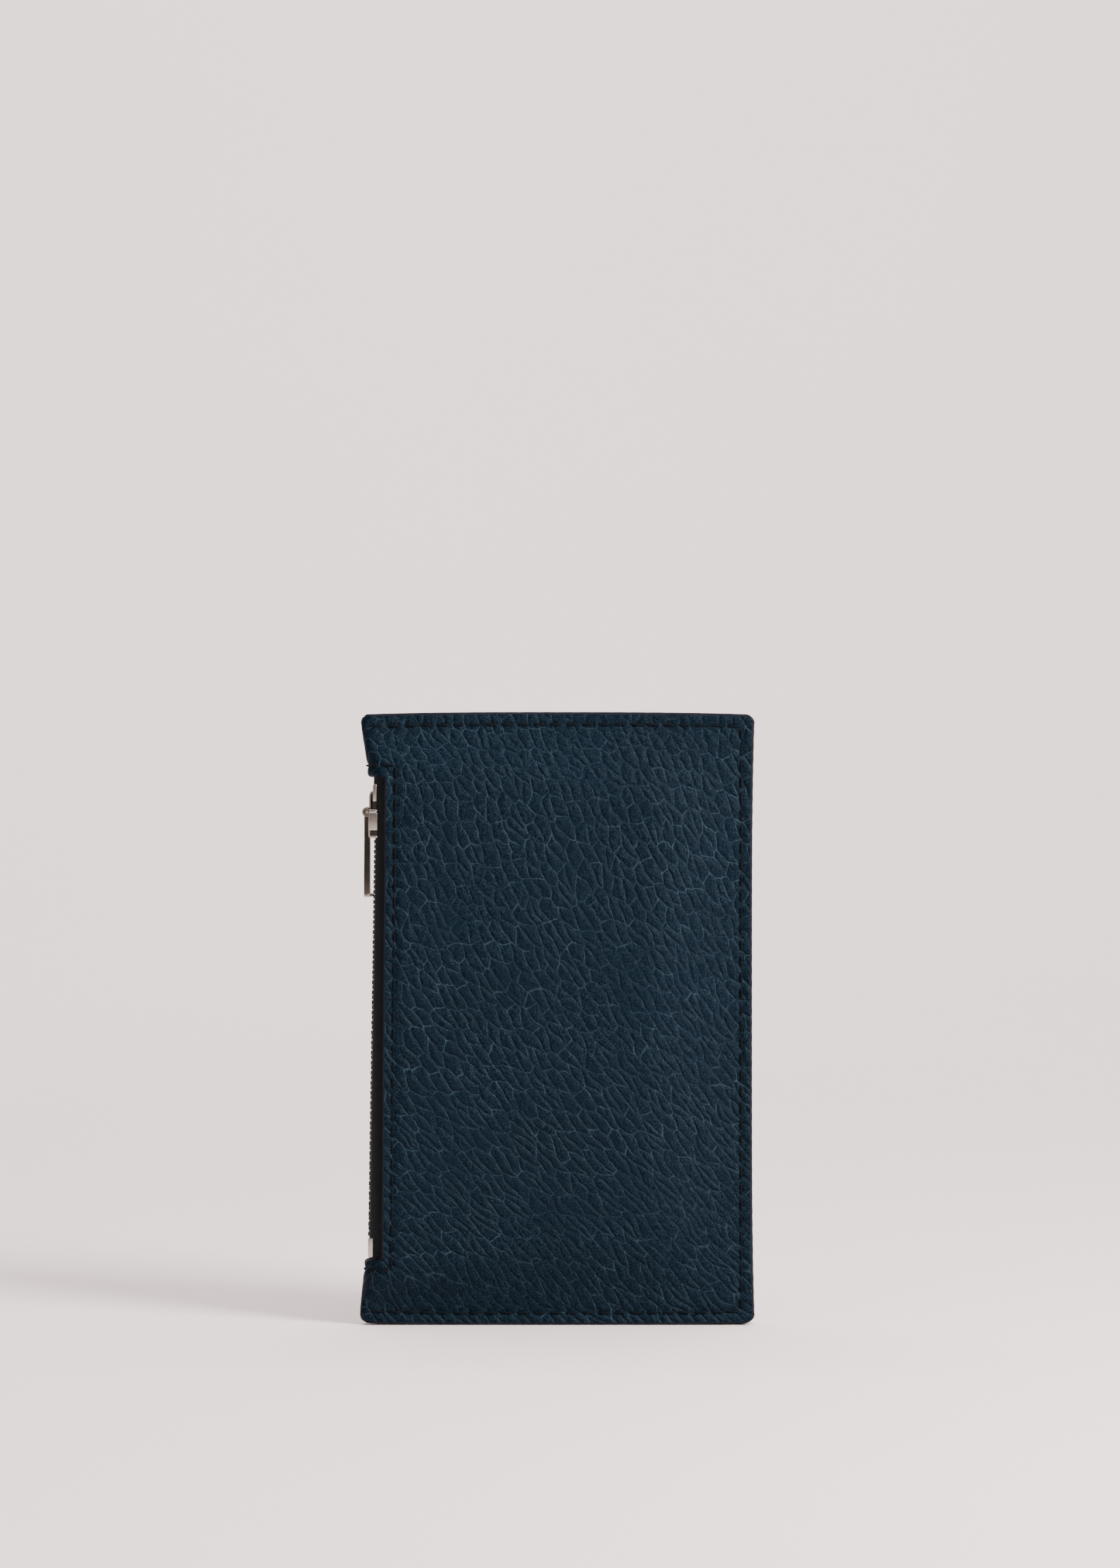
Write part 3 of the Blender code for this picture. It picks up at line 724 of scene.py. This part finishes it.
def make_panel(index):
    """A card slot panel on the back, with a painted mouth."""
    mouth = PANEL_MOUTHS[index]
    rows = row_heights()
    shares = stations(RIGHT - mouth, 0.8)
    columns = []
    for t in shares:
        x = mouth + (right_edge(rows) - PAINT - mouth) * t
        y = sheet_y(x, rows, 1) + PANEL_STEP * (index + 1)
        columns.append(np.stack([x, y, rows], 1))
    points = np.array(columns)
    x, y, z = points[..., 0], points[..., 1], points[..., 2]
    relief = np.zeros_like(x)
    if index == 2:
        relief += perimeter_relief(x, z)
    else:
        relief += np.where(x < PANEL_MOUTHS[index + 1] - 0.2, perimeter_relief(x, z), 0.0)
    relief = np.maximum(relief, -0.3)
    relief += 0.04 * wobble(x, y, z, 14.0, 11.0 + index)
    crease = np.exp(-((x - mouth - 1.6) / 0.3) ** 2)
    relief -= 0.10 * crease + round_off(x - mouth, 0.22)
    outer, inner = points.copy(), points.copy()
    outer[..., 1] += relief
    inner[..., 1] -= PANEL
    for grid in (outer, inner):
        grid[..., 2] = crowned(grid[..., 0], grid[..., 2])
    panel = shell(f"card_slot_{index + 1}", inner, outer, whole(outer), LEATHER_MAT, PAINT_MAT)
    flip_outward(panel)
    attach(panel, "holder")
    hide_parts(f"card_slot_panel_{index + 1}")


def flip_outward(obj):
    work = bmesh.new()
    work.from_mesh(obj.data)
    bmesh.ops.recalc_face_normals(work, faces=work.faces)
    work.to_mesh(obj.data)
    work.free()


def edge_path():
    """Places along the three cut sides, each as (x, z) and the way the edge faces there."""
    begin = float(fold_left(PAINT)) + 0.02
    corner_x = RIGHT - CORNER_RADIUS

    def corner(z, degrees):
        ways = [(math.cos(a), math.sin(a)) for a in np.radians(degrees)]
        return [(corner_x + CORNER_RADIUS * nx, z + CORNER_RADIUS * nz, nx, nz) for nx, nz in ways]

    top = [(x, HEIGHT - float(round_off(x - LEFT, FOLD_CORNER)), 0.0, 1.0)
           for x in np.linspace(begin, corner_x, 170)]
    side = [(float(right_edge(z)), z, 1.0, 0.0)
            for z in np.linspace(HEIGHT - CORNER_RADIUS, CORNER_RADIUS, 220)]
    base = [(x, float(round_off(x - LEFT, FOLD_CORNER)), 0.0, -1.0)
            for x in np.linspace(corner_x, begin, 170)]
    return (top + corner(HEIGHT - CORNER_RADIUS, np.linspace(84, 6, 9)) + side
            + corner(CORNER_RADIUS, np.linspace(-6, -84, 9)) + base)


def make_edge_paint():
    """The painted edge that closes all layers on the three cut sides."""
    across = np.array([0.0, 0.03, 0.10, 0.25, 0.5, 0.75, 0.90, 0.97, 1.0])
    outer, inner = [], []
    for x, z, nx, nz in edge_path():
        z_in = min(max(z, PAINT), HEIGHT - PAINT)
        front = float(sheet_y(x, z_in, -1)) + 0.10
        back = float(back_y(x, z_in)) - 0.10
        y = front + (back - front) * across
        bulge = (1 - (2 * across - 1) ** 6) * (PAINT + 0.02)
        ripple = 0.03 * math.sin(x * 1.7 + z * 2.3)
        stand = np.maximum(bulge - PAINT + ripple, -PAINT - 0.05)
        stand = np.minimum(stand, 0.0)
        height = float(crowned(x, z))
        outer.append(np.stack([x + nx * stand, y, height + nz * stand], 1))
        inner.append(np.stack([np.full_like(y, x - nx * 0.5), y,
                               np.full_like(y, height - nz * 0.5)], 1))
    outer, inner = np.array(outer), np.array(inner)
    band = shell("edge_paint_band", outer, inner, whole(outer), PAINT_MAT, PAINT_MAT)
    flip_outward(band)
    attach(band, "holder")


def make_threads():
    seams = [("stitches_front", perimeter_stitches(-1), "perimeter_thread_front"),
             ("stitches_back", perimeter_stitches(1), "perimeter_thread_back"),
             ("stitches_slot", slot_stitches(), "slot_thread")]
    for name, parts, node in seams:
        verts, faces = gather(parts)
        obj = add_object(name, verts, faces, [THREAD_MAT])
        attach(obj, "holder")
        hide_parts(node)


# Inside ---------------------------------------------------------------

def make_linings():
    """Two cloth sheets that face each other across the zipped pocket."""
    room = GAP * 2 + 0.3
    for name, side in (("front", -1), ("back", 1)):
        seam = EDGE_HALF - LEATHER - GAP - LINING / 2
        middle = FOLD_RADIUS - LEATHER - room - LINING / 2
        begin = TAPE_SEWN_EDGE + 0.3
        rows = np.linspace(LINING_END, HEIGHT - LINING_END, 90)
        columns = []
        for x in np.linspace(begin, RIGHT - LINING_SIDE, 60):
            across = np.full_like(rows, x)
            y = CENTRE_Y + side * between(seam, middle, across, rows)
            y += 0.03 * np.sin(x * 0.9 + rows * 0.4)
            columns.append(np.stack([across, y, rows], 1))
        points = np.array(columns)
        thick = np.array([0, LINING / 2 - 0.03, 0])
        lining = shell(f"pocket_lining_{name}", points - thick, points + thick, whole(points),
                       LINING_MAT, LINING_MAT)
        flip_outward(lining)
        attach(lining, "holder")
        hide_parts(f"lining_{name}")


# Zip ------------------------------------------------------------------

SLIDER_LOW, SLIDER_HIGH = node_box("slider_body")
SLIDER_CENTRE = (SLIDER_LOW + SLIDER_HIGH) / 2
PIN_LOW, PIN_HIGH = node_box("puller_pin")
PIN = (PIN_LOW + PIN_HIGH) / 2 - SLIDER_CENTRE
PULLER_OUTER = -39.4
PULLER_INNER = -38.15
FOOT_CLEAR = 0.2             # room for the puller's foot to pass the bottom stop
CROWN_HALF_WIDTH = 1.7
ZIP_UP = Vector(next(j["axis"] for j in frame["joints"] if j["name"] == "slider_travel"))
ZIP_LEAN = math.atan2(ZIP_UP.x, ZIP_UP.z)
STOP_LOW, STOP_HIGH = node_box("zip_bottom_stop")
STOP_MIDDLE = (STOP_LOW + STOP_HIGH) / 2
STOP_OVER_TAPE = 1.15        # how far the clamped stop reaches past each tape
STOP_THICK = 1.05
STOP_PROUD = 0.2             # how far it stands out from the chain
TOOTH_PITCH = 2.05
TOOTH_TALL = 0.88
CORD_RADIUS = 0.42
CORD_OUT = 1.72              # distance of each row's cord from the middle of the chain
TAPE_HALF_THICK = 0.19
TAPE_RUN_ON = 0.3            # how far the tape runs on under the leather past the slot
TAPE_LOOSE = 0.55            # how far the free ends above the teeth stand out
# Section of the tape on one side of the chain, as (x, y) from the chain's middle.
TAPE_SECTION = [(0.10, 1.75), (-0.25, 1.80), (-0.48, 1.95), (-0.56, 2.18), (-0.50, 2.42),
                (-0.32, 2.58), (-0.05, 2.68), (0.42, 2.74), (0.8, 2.77), (2.0, 2.78), (3.6, 2.78)]


def chain_x(z):
    """Middle of the chain's thickness at a height."""
    return STOP_MIDDLE.x + (z - STOP_MIDDLE.z) * math.tan(ZIP_LEAN)


def make_tape(name, side):
    """Woven tape: from the cord in the chain, round its bend and flat to its sewn edge."""
    rows = np.linspace(SLOT_BOTTOM - TAPE_RUN_ON, SLOT_TOP + TAPE_RUN_ON, 260)
    middle = []
    loose = TAPE_LOOSE * smooth((rows - TEETH_TOP - 0.5) / 3.0)
    for across, out in TAPE_SECTION:
        x = chain_x(rows) + across - loose * (across < 0.3)
        y = CENTRE_Y + side * (out + 0.05 * np.sin(rows * 0.55 + across))
        middle.append(np.stack([x, y, rows], 1))
    last = middle[-1].copy()
    last[:, 0] = TAPE_SEWN_EDGE - 0.05
    middle.append(last)
    points = np.array(middle)
    outward = grid_normals(points) * TAPE_HALF_THICK
    tape = shell(name + "_woven", points - outward, points + outward, whole(points),
                 TAPE_MAT, TAPE_MAT)
    flip_outward(tape)
    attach(tape, "holder")
    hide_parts(name)


def bevelled_box(low, high, width, segments=2):
    """Points and faces of a box with rounded edges."""
    work = bmesh.new()
    bmesh.ops.create_cube(work, size=1)
    for vert in work.verts:
        vert.co = Vector([(a + b) / 2 + side * (b - a) for a, b, side in zip(low, high, vert.co)])
    bmesh.ops.bevel(work, geom=list(work.edges), offset=width, segments=segments, affect="EDGES",
                    profile=0.6)
    verts = [vert.co.copy() for vert in work.verts]
    faces = [tuple(v.index for v in face.verts) for face in work.faces]
    work.free()
    return verts, faces


def on_zip(verts, height):
    """Moves points from the zip's own axes to the frame, at a height up the zip."""
    turn = Matrix.Rotation(ZIP_LEAN, 3, "Y")
    origin = Vector((chain_x(height), CENTRE_Y, height))
    return [turn @ Vector(v) + origin for v in verts]


def make_teeth(name, side):
    """Moulded teeth gripping a cord, interlocked with the other row."""
    bottom = STOP_HIGH.z + 0.35 + (TOOTH_PITCH / 2 if side > 0 else 0.0)
    half_tall = TOOTH_TALL / 2
    body_y = sorted((-side * 0.55, side * 1.80))
    head_y = sorted((-side * 0.62, side * 0.35))
    body = bevelled_box((-1.08, body_y[0], -half_tall), (0.50, body_y[1], half_tall), 0.20)
    head = bevelled_box((-0.74, head_y[0], -0.26), (0.74, head_y[1], 0.26), 0.12)
    parts = []
    height = bottom + half_tall
    while height < TEETH_TOP - 1.3:
        parts += [(on_zip(verts, height), faces) for verts, faces in (body, head)]
        height += TOOTH_PITCH * math.cos(ZIP_LEAN)
    cord_path = [(chain_x(z), CENTRE_Y + side * CORD_OUT, z)
                 for z in np.linspace(STOP_HIGH.z + 0.2, TEETH_TOP - 0.2, 60)]
    parts.append(tube(cord_path, CORD_RADIUS, 10))
    verts, faces = gather(parts)
    row = add_object(name + "_row", verts, faces, [TEETH_MAT])
    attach(row, "holder")
    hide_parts(name)


def make_stops():
    for name in ("zip_top_stop_front", "zip_top_stop_back", "zip_bottom_stop"):
        low, high = node_box(name)
        if name == "zip_bottom_stop":
            low.y -= STOP_OVER_TAPE
            high.y += STOP_OVER_TAPE
            low.x -= STOP_PROUD
            high.x = low.x + STOP_THICK
        verts, faces = bevelled_box(low, high, 0.28, 4)
        stop = add_object(name + "_clip", verts, faces, [NICKEL_MAT])
        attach(stop, "holder")
        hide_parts(name)


def make_lock_spring():
    """The lock spring's own shape, with rounded edges in place of sharp ones."""
    mesh = frame["nodes"]["slider_lock_spring"].data.copy()
    work = bmesh.new()
    work.from_mesh(mesh)
    bmesh.ops.remove_doubles(work, verts=work.verts, dist=0.003 * MM)
    bmesh.ops.dissolve_limit(work, angle_limit=math.radians(2), verts=work.verts,
                             edges=work.edges)
    bmesh.ops.recalc_face_normals(work, faces=work.faces)
    work.to_mesh(mesh)
    work.free()
    mesh.materials.clear()
    mesh.materials.append(STEEL_MAT)
    spring = linked("slider_spring_leaf", mesh)
    bevel = spring.modifiers.new("Bevel", "BEVEL")
    bevel.width = 0.05 * MM
    bevel.segments = 3
    bevel.limit_method = "ANGLE"
    bevel.angle_limit = math.radians(28)
    bevel.use_clamp_overlap = True
    mesh.shade_smooth()
    mesh.set_sharp_from_angle(angle=math.radians(40))
    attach(spring, "slider")
    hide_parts("slider_lock_spring")


def metal_piece(name, parts, mat, body, node=None):
    """One object from parts given in the slider's own axes."""
    verts, faces = gather(parts)
    turn = Matrix.Rotation(ZIP_LEAN, 3, "Y")
    piece = add_object(name, [turn @ Vector(v) + SLIDER_CENTRE for v in verts], faces, [mat])
    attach(piece, body)
    if node:
        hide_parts(node)


def ring(centre, y, major, minor, steps=28, sides=10):
    """A closed round wire that circles the Y axis."""
    verts, faces = [], []
    for k in range(steps):
        turn = 2 * math.pi * k / steps
        here, there = k * sides, (k + 1) % steps * sides
        for s in range(sides):
            angle = 2 * math.pi * s / sides
            reach = major + minor * math.cos(angle)
            verts.append((centre.x + reach * math.cos(turn), y + minor * math.sin(angle),
                          centre.z + reach * math.sin(turn)))
            t = (s + 1) % sides
            faces.append((here + s, there + s, there + t, here + t))
    return verts, faces


def flat_wire(path, half_thick, half_width, sides=16):
    """A round-edged strip that follows (x, z) places and is widest along Y."""
    verts = []
    for k, (x, z) in enumerate(path):
        before, after = path[max(k - 1, 0)], path[min(k + 1, len(path) - 1)]
        along = Vector((after[0] - before[0], 0, after[1] - before[1])).normalized()
        aside = Vector((along.z, 0, -along.x))
        for s in range(sides):
            angle = 2 * math.pi * s / sides
            out = half_thick * math.cos(angle)
            wide = math.copysign(abs(math.sin(angle)) ** 0.6, math.sin(angle)) * half_width
            verts.append((x + aside.x * out, wide, z + aside.z * out))
    return verts, tube_faces(len(path), sides)


def round_head(centre, y, radius, height, side, sides=20, rings=5):
    """A low round head that bulges along Y."""
    verts = []
    for k in range(rings):
        lift = math.radians(90 * k / rings)
        reach = radius * math.cos(lift)
        for s in range(sides):
            angle = 2 * math.pi * s / sides
            verts.append((centre.x + reach * math.cos(angle), y + side * height * math.sin(lift),
                          centre.z + reach * math.sin(angle)))
    return verts, tube_faces(rings, sides)


def both_sides(parts_for):
    """Parts made for the front and the back of the slider."""
    return [part for side in (-1, 1) for part in parts_for(side)]


def sided_box(side, x, y, z, width):
    """A rounded box with these limits on each axis, y measured outwards on this side."""
    low, high = sorted((side * y[0], side * y[1]))
    return bevelled_box((x[0], low, z[0]), (x[1], high, z[1]), width, 3)


def slider_rails(side):
    """Nose, ledge, flange and lower rim of one side of the slider."""
    return [sided_box(side, (-1.40, -0.62), (2.30, 3.20), (1.9, 5.45), 0.22),
            sided_box(side, (-2.15, -0.50), (1.85, 3.22), (-0.45, 0.30), 0.24),
            sided_box(side, (-2.22, -0.40), (1.85, 3.24), (-3.95, -0.38), 0.13),
            sided_box(side, (-2.00, -0.32), (1.85, 3.22), (-5.50, -5.08), 0.18)]


def make_slider_body():
    inner = bevelled_box((0.75, -2.7, -5.4), (1.45, 2.7, 5.4), 0.3, 3)
    wedge = bevelled_box((-0.75, -0.9, 1.2), (0.75, 0.9, 5.2), 0.3, 2)
    metal_piece("slider_casting", both_sides(slider_rails) + [inner, wedge], NICKEL_MAT,
                "slider", "slider_body")
    # The core and its recesses are in the near-black steel, a painted shade for the recess between
    # the rails.
    core = bevelled_box((-1.45, -2.75, -5.35), (-1.12, 2.75, 5.3), 0.12, 2)

    def recess(side):
        return [sided_box(side, (-1.88, -0.42), (1.85, 3.0), (-5.15, -3.9), 0.08),
                sided_box(side, (-1.38, -0.66), (1.85, 2.9), (0.1, 2.1), 0.08)]

    metal_piece("slider_core", [core] + both_sides(recess), SHADED_STEEL_MAT, "slider")


def make_crown():
    """A hooped bridge with an ear on each side for the puller's pin."""
    hoop = [(-1.40, 3.50), (-1.46, 3.78), (-1.60, 3.82), (-1.74, 3.52), (-1.84, 3.1),
            (-1.88, 2.5), (-1.88, 1.7), (-1.86, 0.9), (-1.84, 0.1)]
    parts = [flat_wire(hoop, 0.42, CROWN_HALF_WIDTH)]

    def ears(side):
        cheek = sided_box(side, (-2.25, -1.45), (1.15, 1.72), (-5.3, 0.2), 0.2)
        web = sided_box(side, (PIN.x - 0.2, -1.9), (1.2, 1.68), (PIN.z - 0.65, PIN.z + 0.65), 0.2)
        return [cheek, web]

    def rolls(side):
        return [ring(PIN, side * 1.48, 0.74, 0.27), ring(PIN, side * 1.62, 0.40, 0.15)]

    metal_piece("slider_crown_hoop", parts + both_sides(ears), NICKEL_MAT, "slider",
                "slider_crown")
    # The ear rolls take the darker nickel, a painted shade.
    metal_piece("slider_ears", both_sides(rolls), PAINTED_SHADE_NICKEL_MAT, "slider")


def make_pin():
    heads = both_sides(lambda side: [round_head(PIN, side * 1.45, 0.30, 0.28, side)])
    shaft = bevelled_box((PIN.x - 0.28, -1.5, PIN.z - 0.28), (PIN.x + 0.28, 1.5, PIN.z + 0.28),
                         0.16, 3)
    metal_piece("puller_pivot", heads + [shaft], STEEL_MAT, "slider", "puller_pin")


def make_puller():
    """A long flat bar that widens below its neck, with a bright capped end and a small foot."""
    low, high = node_box("puller")
    inner_face = PULLER_INNER - SLIDER_CENTRE.x
    outer_face = PULLER_OUTER - SLIDER_CENTRE.x
    end = low.z - SLIDER_CENTRE.z
    widths = [(PIN.z + 0.1, 0.85), (-5.4, 0.95), (-9.0, 1.5), (-13.0, 2.15), (end + 0.75, 2.18)]
    verts = []
    for z, half in widths:
        for x, y in ((outer_face, -half), (outer_face + 0.25, -half - 0.03),
                     (inner_face - 0.25, -half - 0.03), (inner_face, -half),
                     (inner_face, half), (inner_face - 0.25, half + 0.03),
                     (outer_face + 0.25, half + 0.03), (outer_face, half)):
            verts.append((x, y, z))
    faces = [tuple(reversed(face)) for face in tube_faces(len(widths), 8)]
    foot = bevelled_box((inner_face - 0.5, -2.0, end + 0.1),
                        (high.x - FOOT_CLEAR - SLIDER_CENTRE.x, 2.0, end + 0.7), 0.12, 3)
    plumb = Matrix.Rotation(-ZIP_LEAN, 3, "Y")

    def hang(part):
        return [PIN + plumb @ (Vector(v) - PIN) for v in part[0]], part[1]

    eye = ring(PIN, 0.0, 0.60, 0.33)
    eye = ([(v[0], v[1] * 2.4, v[2]) for v in eye[0]], eye[1])
    # The bar, its foot and its eye take the darker nickel, a painted shade for their dark
    # reflections; the end cap stays bright nickel.
    metal_piece("puller_bar", [hang((verts, faces)), hang(foot), eye], PAINTED_SHADE_NICKEL_MAT, "puller",
                "puller")
    cap = bevelled_box((outer_face - 0.02, -2.2, end), (inner_face + 0.02, 2.2, end + 0.85), 0.2, 3)
    metal_piece("puller_end_cap", [hang(cap)], NICKEL_MAT, "puller")


def make_slider():
    make_slider_body()
    make_crown()
    make_lock_spring()
    make_pin()
    make_puller()


# Materials on the nodes that stay -------------------------------------

def dress_nodes():
    for node in ("front_stiffener", "back_stiffener"):
        data = frame["nodes"][node].data
        data.materials.clear()
        data.materials.append(BOARD_MAT)


# Set ------------------------------------------------------------------

FRAME_HEIGHT = 0.3186        # height of the picture at the front of the holder, in metres
CAMERA_X, CAMERA_Z = 0.00054, 0.1103
LENS, SENSOR = 100.0, 36.0
SEEN_STRENGTH = 0.72         # the surroundings as the camera sees them


def make_set():
    """A pale floor that sweeps up into a backdrop."""
    profile = [(-3.0, 0.0), (1.2, 0.0)]
    for angle in np.radians(np.linspace(0, 90, 16))[1:]:
        profile.append((1.2 + 0.9 * math.sin(angle), 0.9 - 0.9 * math.cos(angle)))
    profile.append((2.1, 4.0))
    verts = [(x, y, z) for y, z in profile for x in (-4.0, 4.0)]
    faces = [(2 * k, 2 * k + 1, 2 * k + 3, 2 * k + 2) for k in range(len(profile) - 1)]
    n = Nodes("pale_floor")
    color = n.mix(n.noise(3.0, 2.0), (0.805, 0.698, 0.678), (0.829, 0.719, 0.699))
    mat = n.finish(color=color, roughness=0.85, specular=0.2)
    mesh = bpy.data.meshes.new("floor")
    mesh.from_pydata(verts, [], faces)
    mesh.materials.append(mat)
    mesh.shade_smooth()
    floor = linked("floor", mesh)


def area_light(name, place, target, size, energy, color=(1, 1, 1)):
    data = bpy.data.lights.new(name, "AREA")
    data.shape = "RECTANGLE"
    data.size, data.size_y = size
    data.energy = energy
    data.color = color
    light = linked(name, data)
    light.location = place
    light.rotation_euler = (Vector(target) - Vector(place)).to_track_quat("-Z", "Y").to_euler()


def linear_range(tree, value, limits):
    """Maps a value from the first two limits to the last two."""
    node = tree.nodes.new("ShaderNodeMapRange")
    for name, limit in zip(("From Min", "From Max", "To Min", "To Max"), limits):
        node.inputs[name].default_value = limit
    tree.links.new(value, node.inputs["Value"])
    return node.outputs["Result"]


def make_world():
    """Brightest behind the holder and to its right, with an even tone where it shows."""
    world = bpy.data.worlds.new("studio")
    world.use_nodes = True
    tree = world.node_tree
    back = tree.nodes["Background"]
    direction = tree.nodes.new("ShaderNodeTexCoord").outputs["Generated"]
    axes = tree.nodes.new("ShaderNodeSeparateXYZ")
    tree.links.new(direction, axes.inputs[0])
    both = tree.nodes.new("ShaderNodeMath")
    both.operation = "MULTIPLY"
    tree.links.new(linear_range(tree, axes.outputs["Y"], (-0.9, 0.6, 0.10, 1.05)), both.inputs[0])
    tree.links.new(linear_range(tree, axes.outputs["X"], (-0.8, 0.4, 0.25, 1.0)), both.inputs[1])
    seen = tree.nodes.new("ShaderNodeLightPath").outputs["Is Camera Ray"]
    strength = tree.nodes.new("ShaderNodeMix")
    tree.links.new(seen, strength.inputs["Factor"])
    tree.links.new(both.outputs[0], strength.inputs["A"])
    strength.inputs["B"].default_value = SEEN_STRENGTH
    tree.links.new(strength.outputs["Result"], back.inputs["Strength"])
    back.inputs["Color"].default_value = (1.0, 0.985, 0.975, 1.0)
    bpy.context.scene.world = world


def make_lights():
    area_light("key", (0.58, -0.44, 0.50), (0, 0, 0.06), (0.30, 0.42), 19.5, (1.0, 0.985, 0.965))
    area_light("fill", (-1.4, -1.6, 0.9), (0, 0, 0.06), (1.4, 1.4), 8.0, (0.97, 0.98, 1.0))
    area_light("top", (0.0, -0.2, 2.2), (0, -0.1, 0), (2.6, 2.6), 51.0)
    area_light("backdrop", (0.0, 0.9, 1.7), (0, 2.1, 0.5), (2.8, 0.6), 60.0)
    make_world()


def make_camera():
    """Square on to the front, level, with the holder below the middle of the picture."""
    distance = FRAME_HEIGHT * LENS / SENSOR
    data = bpy.data.cameras.new("camera")
    data.lens = LENS
    data.sensor_width = SENSOR
    data.clip_start = 0.01
    data.clip_end = 20.0
    camera = linked("camera", data)
    camera.location = (CAMERA_X, LEATHER_LOW.y * MM - distance, CAMERA_Z)
    camera.rotation_euler = (math.pi / 2, 0, 0)
    bpy.context.scene.camera = camera


make_camera()
make_set()
make_lights()
make_leather()
make_edge_paint()
for panel_index in range(3):
    make_panel(panel_index)
make_threads()
make_linings()
make_tape("zip_tape_front", -1)
make_tape("zip_tape_back", 1)
make_teeth("zip_teeth_front", -1)
make_teeth("zip_teeth_back", 1)
make_stops()
make_slider()
dress_nodes()
